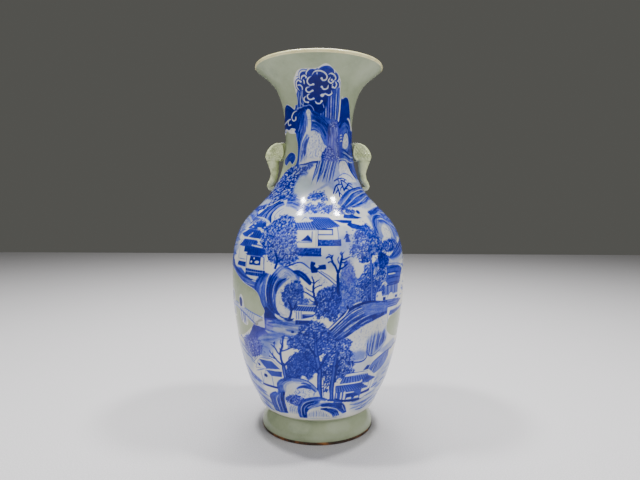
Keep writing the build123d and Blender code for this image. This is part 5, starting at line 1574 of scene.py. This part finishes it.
# ------------------------------------------------------------------ relief
# The slip stands RELIEF_RISE off the wall. Its edges slope down by RELIEF_SLOPE to RELIEF_SUNK inside the
# wall, and the skin ends EDGE_KEPT outside its outline.
BODY_LOW, NECK_LOW, NECK_HIGH = 37.0, 399.0, 563.0
LEFT_PEAK_FOOT = 465.0
RELIEF_RISE, RELIEF_SLOPE, RELIEF_SUNK = 0.8, 0.42, 0.5
EDGE_KEPT = 1.2
COLUMNS, ROW_STEP = 864, 1.05
LINE_POINTS = 4000
OFF_PANEL = -40.0

# The celadon left bare in the landscape: both lakes of the front, one of the back, and the two shoulders.
BODY_RESERVES = [
    [(-104, 250), (-84, 264), (-68, 260), (-53, 246), (-40, 236), (-36, 219), (-34, 206), (-42, 192),
     (-47, 180), (-60, 163), (-84, 156), (-104, 170)],
    [(52, 194), (62, 199), (84, 203), (102, 196), (104, 176), (88, 152), (70, 157), (56, 166), (50, 178)],
    [(152, 262), (172, 276), (196, 262), (206, 232), (190, 206), (166, 202), (150, 226)],
    [(-70, 412), (-70, 402), (-80, 396), (-92, 388), (-108, 390), (-120, 395), (-132, 402), (-132, 412)],
    [(98, 412), (98, 402), (104, 393), (114, 390), (126, 402), (126, 412)],
]
# The bridge over the left lake: two stretches of deck, two walkers and two piers.
BRIDGE = [
    [(-106, 206), (-84, 211), (-62, 212), (-48, 202), (-38, 190), (-42, 184), (-50, 194), (-63, 204),
     (-84, 203), (-106, 198)],
    [(-66, 213), (-56, 210), (-46, 205), (-35, 199), (-34, 194), (-40, 188), (-44, 186), (-50, 193),
     (-60, 203)],
    [(-59, 206), (-59.6, 217), (-58.4, 225), (-55.4, 226), (-53.6, 217), (-53.4, 206)],
    [(-74, 208), (-74.4, 221), (-73, 230), (-70, 231), (-68.2, 221), (-68, 208)],
    [(-59, 204), (-58.4, 186), (-50.8, 182), (-50.4, 196)],
    [(-75, 208), (-74.4, 190), (-69, 188), (-68.6, 206)],
]
# The slip panels round the neck.
NECK_PANELS = {
    "cloud_peak": [(-70, 392), (-68, 399), (-60, 410), (-45, 419), (-36, 424), (-36, 450), (-41, 471),
                   (-41, 509), (-34, 514), (-34, 541), (-28, 552), (-20, 558), (-3, 558), (7, 563),
                   (17, 557), (25, 550), (30, 540), (34, 519), (38, 516), (38, 392)],
    "right_peak": [(30, 392), (30, 517), (34, 519), (43, 524.5), (51, 521), (60, 506), (68, 490), (82, 480),
                   (97, 469), (102, 430), (98, 399), (98, 392)],
    "left_peak": [(-37, 473), (-37, 507), (-41, 507), (-49, 512), (-58, 515.5), (-68, 511), (-77, 498),
                  (-92, 489), (-94, 477), (-80, 471), (-68, 476), (-55, 471)],
    "left_rock": [(-66, 424), (-70, 431), (-60, 438), (-50, 442), (-40, 438), (-38, 430), (-44, 422),
                  (-51, 427), (-58, 421)],
    "back_peak": [(126, 392), (132, 432), (134, 470), (145, 500), (160, 524), (178, 542), (196, 530),
                  (206, 500), (222, 474), (229, 432), (228, 392)],
}


def edge_distance(p, outline):
    """Signed distance in mm from an outline over the whole band, positive inside."""
    field = np.full((p.rows, p.columns), OFF_PANEL)
    rows, columns, d = p.distance(smooth(outline, 2.0, closed=True), margin=8)
    at = np.ix_(rows, columns)
    field[at] = np.maximum(field[at], d)
    return field


def sample(p, layer, azimuths, heights):
    """A layer of the painting read at azimuths in degrees and heights in mm."""
    x = (np.asarray(azimuths) + 180) % 360 * p.columns / 360
    y = np.clip((np.asarray(heights) - p.low) / p.pixel, 0, p.rows - 1.001)
    return read_grid(layer, x, y)


def wall_rows(low, high, step):
    """Heights, radii and outward normals of points spaced step mm along the wall's line."""
    z = np.linspace(low, high, LINE_POINTS)
    along = np.concatenate([[0], np.cumsum(np.hypot(np.diff(z), np.diff(wall_radius(z))))])
    z = np.interp(np.linspace(0, along[-1], int(along[-1] / step) + 2), along, z)
    lift = wall_radius(z + 0.5) - wall_radius(z - 0.5)
    size = np.hypot(1.0, lift)
    return z, wall_radius(z), 1 / size, -lift / size


def add_piece(name, mesh, slot, *nodes):
    """Link a mesh as a piece of the vase that stands for some CAD nodes."""
    piece = bpy.data.objects.new(name, mesh)
    bpy.context.scene.collection.objects.link(piece)
    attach(piece, "root")
    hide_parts(*nodes)


def grid_mesh(name, points, normals, wanted, layers, material):
    """A mesh of the wanted cells of a grid of points, with its layers as attributes."""
    m, n = points.shape[:2]
    index = np.arange(m * n).reshape(m, n)
    corners = [index[:-1, :-1], index[:-1, 1:], index[1:, 1:], index[1:, :-1]]
    quads = np.stack(corners, axis=2).reshape(-1, 4)
    quads = quads[wanted.reshape(-1)[quads].any(axis=1)]
    used, quads = np.unique(quads, return_inverse=True)
    mesh = bpy.data.meshes.new(name)
    mesh.vertices.add(len(used))
    mesh.vertices.foreach_set("co", (points.reshape(-1, 3)[used] * MM).astype(np.float32).ravel())
    mesh.loops.add(quads.size)
    mesh.loops.foreach_set("vertex_index", quads.astype(np.int32).ravel())
    mesh.polygons.add(quads.size // 4)
    mesh.polygons.foreach_set("loop_start", np.arange(0, quads.size, 4, dtype=np.int32))
    mesh.update(calc_edges=True)
    mesh.shade_smooth()
    for key, values in layers.items():
        attribute = mesh.attributes.new(key, "FLOAT", "POINT")
        attribute.data.foreach_set("value", values.reshape(-1)[used].astype(np.float32))
    mesh.normals_split_custom_set_from_vertices(normals.reshape(-1, 3)[used].tolist())
    mesh.materials.append(material)
    return mesh


def grid_normals(points):
    """Outward normals of a grid of points, from the slopes along its two directions."""
    along = np.gradient(points, axis=1)
    along[:, 0] = along[:, -1] = points[:, 1] - points[:, -2]
    up = np.gradient(points, axis=0)
    normal = np.cross(along, up)
    return normal / np.linalg.norm(normal, axis=2, keepdims=True)


def relief_pieces(p, material):
    """Every painted relief sheet, cut from one grid so that neighbours share points and normals."""
    heights = p.height[:, None]
    reserve = np.max([edge_distance(p, o) for o in BODY_RESERVES], axis=0)
    panels = np.max([edge_distance(p, o) for o in NECK_PANELS.values()], axis=0)
    body = np.minimum(np.minimum(-reserve, NECK_LOW + 4 - heights), heights - BODY_LOW - 0.8)
    azimuths = -180 + 360 * np.arange(COLUMNS + 1) / COLUMNS
    z, r, out, up = wall_rows(BODY_LOW - 0.6, NECK_HIGH + 2, ROW_STEP)
    split = int(np.argmin(abs(z - NECK_LOW)))
    layers = {key: sample(p, getattr(p, key), azimuths, z) for key in ("tone", "violet", "grey")}

    def sheets(inside, cuts, fade):
        """Cut the sheet where inside is positive into named pieces; fade thins the paint at its edges."""
        d = sample(p, inside, azimuths, z)
        edge = np.clip((d - 0.1) / 0.9, 0, 1)
        height = np.clip(d * RELIEF_SLOPE, -RELIEF_SUNK, RELIEF_RISE)
        a = np.radians(azimuths)
        radius = r[:, None] + height * out[:, None]
        points = np.stack([radius * np.sin(a), -radius * np.cos(a), z[:, None] + height * up[:, None]],
                          axis=2)
        normals = grid_normals(points)
        faded = dict(layers, tone=layers["tone"] * edge) if fade else layers
        for name, (low, high), (a0, a1), node in cuts:
            part = np.s_[low : high + 1, column(a0) : column(a1) + 1]
            keep = (d > -EDGE_KEPT)[part]
            if keep.any():
                painted = {key: values[part] for key, values in faded.items()}
                mesh = grid_mesh(name, points[part], normals[part], keep, painted, material)
                add_piece(name, mesh, "white_slip", node)

    def column(azimuth):
        """Column of the grid at an azimuth."""
        return int(round((azimuth + 180) * COLUMNS / 360))

    below, above = (0, split), (split, len(z) - 1)
    foot = int(np.argmin(abs(z - LEFT_PEAK_FOOT)))
    cuts = [
        ("landscape_back_left", below, (-180, -90), "body_relief"),
        ("landscape_front_left", below, (-90, 0), "body_relief"),
        ("landscape_front_right", below, (0, 90), "body_relief"),
        ("landscape_back_right", below, (90, 180), "body_relief"),
        ("neck_front", above, (-36, 34), "cloud_peak_relief"),
        ("neck_right", above, (34, 110), "right_peak_relief"),
        ("neck_back_right", above, (110, 180), "back_peak_relief"),
        ("neck_back_left", above, (-180, -112), "back_peak_relief"),
        ("neck_left_peak", (foot, len(z) - 1), (-112, -36), "left_peak_relief"),
        ("neck_left_foot", (split, foot), (-112, -36), "left_rock_relief"),
    ]
    sheets(np.maximum(body, panels), cuts, True)
    bridge_sheet = np.max([edge_distance(p, outline) for outline in BRIDGE], axis=0)
    sheets(bridge_sheet, [("plank_bridge", below, (-120, -30), "bridge_relief")], False)


# ------------------------------------------------------------------ materials
def linear(red, green, blue):
    """An sRGB colour of 0 to 255 as a linear colour for the shader."""
    shares = [c / 255 for c in (red, green, blue)]
    return tuple(((c + 0.055) / 1.055) ** 2.4 if c > 0.04 else c / 12.92 for c in shares) + (1.0,)


class Shader:
    """A node material with a Principled surface, and short ways to add nodes to it."""

    def __init__(self, name):
        self.material = bpy.data.materials.new(name)
        self.material.use_nodes = True
        self.tree = self.material.node_tree
        self.surface = next(n for n in self.tree.nodes if n.type == "BSDF_PRINCIPLED")
        self.place = self.node("ShaderNodeTexCoord").outputs["Object"]

    def node(self, kind, **settings):
        """A new node with some of its settings."""
        made = self.tree.nodes.new(kind)
        for key, value in settings.items():
            setattr(made, key, value)
        return made

    def join(self, source, socket):
        """Link an output to a socket, or set the socket to a plain value."""
        if hasattr(source, "is_output"):
            self.tree.links.new(source, socket)
        else:
            socket.default_value = source

    def noise(self, size, detail=3.0, rough=0.55):
        """Noise whose blotches are about size mm."""
        made = self.node("ShaderNodeTexNoise")
        self.join(self.place, made.inputs["Vector"])
        made.inputs["Scale"].default_value = 1 / (size * MM)
        made.inputs["Detail"].default_value = detail
        made.inputs["Roughness"].default_value = rough
        return made.outputs["Fac"]

    def read(self, name):
        """A layer of the painting, from the attribute of that name on the relief's points."""
        return self.node("ShaderNodeAttribute", attribute_name=name).outputs["Fac"]

    def math(self, operation, a, b, clamp=False):
        """One sum on two values, held to 0 to 1 if clamp is set."""
        made = self.node("ShaderNodeMath", operation=operation, use_clamp=clamp)
        self.join(a, made.inputs[0])
        self.join(b, made.inputs[1])
        return made.outputs[0]

    def span(self, value, low, high, to_low=0.0, to_high=1.0):
        """A value stretched from one range to another and held inside it."""
        made = self.node("ShaderNodeMapRange")
        sockets = ("Value", "From Min", "From Max", "To Min", "To Max")
        for socket, source in zip(sockets, (value, low, high, to_low, to_high)):
            self.join(source, made.inputs[socket])
        return made.outputs["Result"]

    def ramp(self, value, stops):
        """A colour from a row of (position, sRGB colour) stops."""
        made = self.node("ShaderNodeValToRGB")
        self.join(value, made.inputs["Fac"])
        elements = made.color_ramp.elements
        while len(elements) < len(stops):
            elements.new(0.5)
        for element, (position, colour) in zip(elements, stops):
            element.position = position
            element.color = linear(*colour)
        return made.outputs["Color"]

    def mix(self, share, first, second, blend="MIX"):
        """Two colours mixed, with the given share of the second."""
        made = self.node("ShaderNodeMix", data_type="RGBA", blend_type=blend)
        self.join(share, made.inputs["Factor"])
        self.join(first, made.inputs["A"])
        self.join(second, made.inputs["B"])
        return made.outputs["Result"]

    def bump(self, height, distance, strength, under=None):
        """Normals roughened by a height over distance mm, on top of those of another bump."""
        made = self.node("ShaderNodeBump")
        made.inputs["Strength"].default_value = strength
        made.inputs["Distance"].default_value = distance * MM
        self.join(height, made.inputs["Height"])
        if under is not None:
            self.join(under, made.inputs["Normal"])
        return made.outputs["Normal"]

    def finish(self, colour, roughness, normal, specular=0.5):
        """Set the surface and give the material."""
        self.join(colour, self.surface.inputs["Base Color"])
        self.join(roughness, self.surface.inputs["Roughness"])
        self.join(normal, self.surface.inputs["Normal"])
        self.surface.inputs["Specular IOR Level"].default_value = specular
        return self.material


def glaze_ripple(s):
    """The faint unevenness of a wood-fired glaze and the pinholes in it."""
    return s.bump(s.noise(26, 2.0), 0.5, 0.35, s.bump(s.noise(2.2, 2.0), 0.04, 0.5))


# Colours by density: the bare slip, the thin wash, and up to the pooled cobalt.
COBALT = [(0.0, (228, 227, 221)), (0.15, (190, 197, 216)), (0.35, (118, 134, 206)), (0.6, (54, 72, 190)),
          (0.82, (18, 32, 146)), (1.0, (8, 14, 110))]
VIOLET = [(0.0, (228, 227, 221)), (0.15, (194, 195, 216)), (0.35, (132, 132, 204)), (0.6, (76, 72, 186)),
          (0.82, (36, 32, 146)), (1.0, (16, 12, 110))]


def painted_slip():
    """White slip under a clear glaze, with cobalt brushwork whose density is the tone attribute."""
    s = Shader("painted_slip")
    grain = s.math("MULTIPLY", s.math("SUBTRACT", s.noise(1.6, 4.0, 0.65), 0.5), 0.34)
    pooled = s.math("MULTIPLY", s.math("SUBTRACT", s.noise(9.0, 3.0), 0.5), 0.22)
    tone = s.read("tone")
    shift = s.math("MULTIPLY", s.math("ADD", grain, pooled), s.math("MULTIPLY", tone, 1.6, True))
    dense = s.math("ADD", tone, shift, True)
    blue = s.mix(s.read("violet"), s.ramp(dense, COBALT), s.ramp(dense, VIOLET))
    washed = s.mix(s.math("MULTIPLY", s.read("grey"), 0.9), blue, linear(158, 178, 184))
    cream = s.mix(s.span(s.noise(38, 3.0), 0.35, 0.7), washed, linear(238, 236, 222), "MULTIPLY")
    rough = s.span(s.noise(5.0, 3.0), 0.3, 0.7, 0.07, 0.14)
    return s.finish(cream, rough, glaze_ripple(s), specular=0.2)


def celadon(name, shade, light, deep, patch=55):
    """Grey-green glaze that pools darker in patches, with iron specks and an uneven gloss."""
    s = Shader(name)
    cloud = s.ramp(s.noise(patch, 4.0, 0.6), [(0.3, deep), (0.5, shade), (0.72, light)])
    fine = s.mix(s.span(s.noise(3.0, 4.0, 0.7), 0.3, 0.75, 0.0, 0.35), cloud, linear(*light))
    specks = s.node("ShaderNodeTexVoronoi")
    s.join(s.place, specks.inputs["Vector"])
    specks.inputs["Scale"].default_value = 1 / (9 * MM)
    near = s.span(specks.outputs["Distance"], 0.03, 0.06, 1.0, 0.0)
    spots = s.math("MULTIPLY", near, s.span(s.noise(30), 0.52, 0.6))
    colour = s.mix(s.math("MULTIPLY", spots, 0.45, True), fine, linear(96, 88, 62))
    return s.finish(colour, s.span(s.noise(12.0, 3.0), 0.3, 0.7, 0.08, 0.16), glaze_ripple(s),
                    specular=0.26)


def fired_rim():
    """The unglazed foot edge: iron-brown and orange clay with dark grit."""
    s = Shader("bare_rim")
    clay = [(0.34, (34, 25, 17)), (0.5, (66, 46, 28)), (0.6, (128, 78, 36)), (0.74, (170, 116, 64))]
    body = s.ramp(s.noise(24, 5.0, 0.7), clay)
    grit = s.span(s.noise(1.1, 2.0), 0.56, 0.66)
    colour = s.mix(s.math("MULTIPLY", grit, 0.7), body, linear(30, 22, 18))
    return s.finish(colour, s.span(s.noise(2.0), 0.3, 0.7, 0.6, 0.9),
                    s.bump(s.noise(1.2, 5.0, 0.7), 0.3, 0.9))


def set_material(name, material):
    """Give a CAD node one material."""
    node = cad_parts[name]
    if not node.material_slots:
        node.data.materials.append(material)
    for place in node.material_slots:
        place.link = "OBJECT"
        place.material = material


# ------------------------------------------------------------------ handles
def spline(values, share):
    """Smooth values through the rows of a short table, read at shares from 0 to 1."""
    values = np.array(values, float)
    n = len(values)
    padded = np.vstack([2 * values[0] - values[1], values, 2 * values[-1] - values[-2]])
    t = np.clip(np.asarray(share), 0, 1) * (n - 1)
    i = np.minimum(t.astype(int), n - 2)
    f = (t - i)[:, None]
    return curve_between(*(padded[i + k] for k in range(4)), f)


def closed_loft(name, rings, material, side, node):
    """A piece of a handle skinned over rings of points, closed with a fan at both ends, on side -1 or 1."""
    rings = rings * [side, 1, 1]
    m, n = rings.shape[:2]
    points = np.vstack([rings.reshape(-1, 3), rings[0].mean(axis=0), rings[-1].mean(axis=0)])
    faces = []
    for i in range(m - 1):
        for j in range(n):
            k = (j + 1) % n
            faces.append((i * n + j, i * n + k, (i + 1) * n + k, (i + 1) * n + j))
    for j in range(n):
        k = (j + 1) % n
        faces.append((m * n, k, j))
        faces.append((m * n + 1, (m - 1) * n + j, (m - 1) * n + k))
    mesh = bpy.data.meshes.new(name)
    mesh.from_pydata((points * MM).tolist(), [], faces)
    bpy.context.view_layer.update()
    shape = bmesh.new()
    shape.from_mesh(mesh)
    bmesh.ops.recalc_face_normals(shape, faces=shape.faces)
    shape.to_mesh(mesh)
    shape.free()
    mesh.shade_smooth()
    mesh.materials.append(material)
    add_piece(name, mesh, "handle_glaze", node)


# Rows down the head: its inner and outer radius from the vase's axis, its height and its half width.
HEAD_LEVELS = [(54, 69, 459.6, 5.5), (50, 76.4, 455, 10.4), (50, 82.8, 447, 12.6), (50, 85.6, 438.5, 12.4),
               (62.6, 83.8, 431.2, 9.6)]
# Rows along the trunk: the place of its middle, out from the axis and up, and its radius.
TRUNK_LINE = [(73.2, 431.2, 10.2), (72.2, 423, 8.2), (71.2, 412, 6.1), (73.1, 401.5, 5.6),
              (77.4, 394.6, 4.7), (79, 389.8, 4), (75.6, 386.6, 3.6), (70.6, 388.4, 3.2)]
# Curls of hair on the head: out from the axis, up, and radius.
HEAD_CURLS = [(72, 453, 2.6), (77, 448, 2.6), (70, 447.5, 2.4), (76, 441.5, 2.4), (66, 452, 2.4),
              (81, 442, 2.2), (74.4, 436.4, 2.6), (80, 436, 2.4)]
HEAD_ROUNDNESS = 0.8
CURL_RISE, CURL_GROOVE, GROOVE_WIDTH = 1.7, 0.8, 0.7


def elephant_head(side, word, material):
    """The domed head: rings down it, with curls of hair moulded on both faces."""
    share = np.linspace(0, 1, 44)
    levels = spline(HEAD_LEVELS, share)
    around = np.radians(np.arange(0, 360, 4))
    rings = np.empty((len(share), len(around), 3))
    for i, (inner, outer, z, half) in enumerate(levels):
        middle, reach = (inner + outer) / 2, (outer - inner) / 2
        c, s = np.cos(around), np.sin(around)
        x = middle + reach * np.sign(c) * abs(c) ** HEAD_ROUNDNESS
        y = half * np.sign(s) * abs(s) ** HEAD_ROUNDNESS
        rings[i] = np.stack([x, y, np.full_like(x, z)], axis=1)
    for cx, cz, size in HEAD_CURLS:
        away = (rings[..., 0] - cx) ** 2 + (rings[..., 2] - cz) ** 2
        ridge = CURL_RISE * np.exp(-away / (size * 0.75) ** 2)
        groove = CURL_GROOVE * np.exp(-((np.sqrt(away) - size) ** 2) / GROOVE_WIDTH**2)
        depth = np.sign(rings[..., 1]) * (ridge - groove)
        rings[..., 1] += depth * np.clip(abs(rings[..., 1]) / 5, 0, 1)
    closed_loft(f"{word}_elephant_head", rings, material, side, f"{word}_head")


FOLD_DEPTH, FOLD_TURNS, TIP_START, TRUNK_FLATNESS = 0.03, 60, 0.95, 0.92


def elephant_trunk(side, word, material):
    """The trunk: a tapering tube whose tip curls in to the shoulder, with shallow folds across it."""
    share = np.linspace(0, 1, 90)
    line = spline(TRUNK_LINE, share)
    direction = np.gradient(line[:, :2], axis=0)
    direction /= np.linalg.norm(direction, axis=1, keepdims=True)
    across = np.stack([-direction[:, 1], direction[:, 0]], axis=1)
    around = np.radians(np.arange(0, 360, 9))
    folds = 1 - FOLD_DEPTH * np.cos(share * FOLD_TURNS) * np.clip(share * 3, 0, 1)
    close = np.sqrt(np.clip(1 - np.clip((share - TIP_START) / (1 - TIP_START), 0, 1) ** 2, 0.02, 1))
    rings = np.empty((len(share), len(around), 3))
    for i in range(len(share)):
        radius = line[i, 2] * folds[i] * close[i]
        x = line[i, 0] + across[i, 0] * radius * np.cos(around)
        z = line[i, 1] + across[i, 1] * radius * np.cos(around)
        rings[i] = np.stack([x, radius * TRUNK_FLATNESS * np.sin(around), z], axis=1)
    closed_loft(f"{word}_elephant_trunk", rings, material, side, f"{word}_trunk")


# The ear's outline, out from the axis and up, and its rings: shares of the outline and of the thickness.
EAR_OUTLINE = [(57, 456), (68, 457.5), (76, 450), (73.5, 439.5), (66.5, 436), (60.5, 431), (55, 440)]
EAR_RINGS = [(0.0, 1.0), (0.12, 1.0), (0.25, 1.0), (0.38, 1.0), (0.5, 1.0), (0.62, 1.0), (0.74, 1.05),
             (0.84, 1.2), (0.92, 1.25), (0.97, 1.0), (1.0, 0.45)]
EAR_BACK, EAR_INSIDE, EAR_THICKNESS, LOBE_RISE = 6.0, 8.4, 5.4, 1.1


def elephant_ear(side, word, face, end, material):
    """An ear: a leaf with a rolled rim and curls moulded over it."""
    outline = smooth_flat(EAR_OUTLINE, 12)
    middle = outline.mean(axis=0)
    rows = []
    for share, thick in EAR_RINGS:
        flat = middle + (outline - middle) * max(share, 0.01)
        lobes = LOBE_RISE * np.sin(flat[:, 0] * 1.25) * np.sin(flat[:, 1] * 1.1 + 0.6) * (1 - share**4)
        depth = EAR_INSIDE + EAR_THICKNESS * thick + lobes
        rows.append(np.stack([flat[:, 0], depth * face, flat[:, 1]], axis=1))
    back = rows[-1].copy()
    back[:, 1] = EAR_BACK * face
    rows.append(back)
    closed_loft(f"{word}_elephant_{end}_ear", np.array(rows), material, side, f"{word}_{end}_ear")


def smooth_flat(points, steps):
    """A closed smooth curve through a few flat points."""
    p = np.array(points, float)
    out = []
    for i in range(len(p)):
        t = np.linspace(0, 1, steps, endpoint=False)[:, None]
        out.append(curve_between(*(p[(i + k) % len(p)] for k in range(-1, 3)), t))
    return np.vstack(out)


# ------------------------------------------------------------------ studio
def floor():
    """The pale woven cloth the vase stands on."""
    bpy.ops.mesh.primitive_grid_add(x_subdivisions=8, y_subdivisions=8, size=6)
    plane = bpy.context.object
    plane.name = "floor"
    s = Shader("pale_cloth")
    weave = s.noise(1.8, 2.0)
    colour = s.mix(s.span(weave, 0.35, 0.65), linear(196, 194, 196), linear(216, 214, 216))
    s.finish(colour, 0.9, s.bump(weave, 0.4, 0.4), specular=0.2)
    plane.data.materials.append(s.material)


def lamp(name, place, aim, size, power):
    """A round soft lamp, its diameter in metres and its power in watts."""
    light = bpy.data.lights.new(name, "AREA")
    light.shape = "DISK"
    light.size = size
    light.energy = power
    holder = bpy.data.objects.new(name, light)
    holder.location = place
    holder.rotation_euler = (Vector(aim) - Vector(place)).to_track_quat("-Z", "Y").to_euler()
    bpy.context.scene.collection.objects.link(holder)


def studio():
    """A dim grey room, four soft lamps and the two ceiling spots that shine on the glaze."""
    world = bpy.data.worlds.new("studio")
    bpy.context.scene.world = world
    world.use_nodes = True
    back = world.node_tree.nodes["Background"]
    back.inputs["Color"].default_value = linear(150, 150, 144)
    back.inputs["Strength"].default_value = 0.3
    lamp("overhead", (0.0, 0.5, 2.0), (0, 0, 0.2), 1.2, 34)
    lamp("left_soft", (-1.5, -1.7, 1.6), (0, 0, 0.3), 2.2, 23)
    lamp("right_soft", (1.7, -1.5, 1.5), (0, 0, 0.3), 2.2, 29)
    lamp("back_soft", (0.0, 1.5, 2.1), (0, 0, 0.3), 0.8, 20)
    for x in (-0.43, 0.45):
        lamp("ceiling_spot", (x, -0.06, 1.75), (0, 0, 0.35), 0.13, 20)


CAMERA_PLACE = (0, -0.825, 0.358)
TILT_DOWN, ROLL = 3.8, 0.26
LENS, SENSOR_WIDTH, SHIFT_ACROSS = 28.4, 36, 0.0031


def camera():
    """The view of the photo: in front, a little above the middle, tilted down and slightly rolled."""
    view = bpy.data.cameras.new("view")
    view.lens = LENS
    view.sensor_width = SENSOR_WIDTH
    view.shift_x = SHIFT_ACROSS
    holder = bpy.data.objects.new("view", view)
    holder.location = CAMERA_PLACE
    tilt = Euler((radians(90 - TILT_DOWN), 0, 0)).to_matrix()
    holder.rotation_euler = (tilt @ Euler((0, 0, radians(ROLL))).to_matrix()).to_euler()
    bpy.context.scene.collection.objects.link(holder)
    bpy.context.scene.camera = holder


# ------------------------------------------------------------------ the vase
PAINT_LOW, PAINT_HIGH, WIDEST = 36, 566, 138.4
painting = Painting(PAINT_LOW, PAINT_HIGH, WIDEST)
paint_vase(painting)
relief_pieces(painting, painted_slip())

GREEN = celadon("celadon_glaze", (159, 169, 138), (173, 183, 154), (137, 149, 118))
for node_name in ("foot_ring", "lower_body", "upper_body", "neck", "mouth"):
    set_material(node_name, GREEN)
for seam in ("foot", "belly", "neck", "mouth"):
    set_material(f"{seam}_luting_seam", GREEN)
set_material("base_disc", celadon("base_glaze", (196, 200, 186), (208, 210, 198), (176, 184, 168)))
set_material("lip", celadon("lip_glaze", (232, 224, 166), (240, 234, 186), (206, 196, 134), 24))
set_material("foot_rim", fired_rim())
HANDLE = celadon("handle_glaze", (204, 214, 160), (234, 240, 196), (156, 168, 116), 12)
for turned, side_word in ((-1, "left"), (1, "right")):
    elephant_head(turned, side_word, HANDLE)
    elephant_trunk(turned, side_word, HANDLE)
    elephant_ear(turned, side_word, -1, "front", HANDLE)
    elephant_ear(turned, side_word, 1, "back", HANDLE)
floor()
studio()
camera()
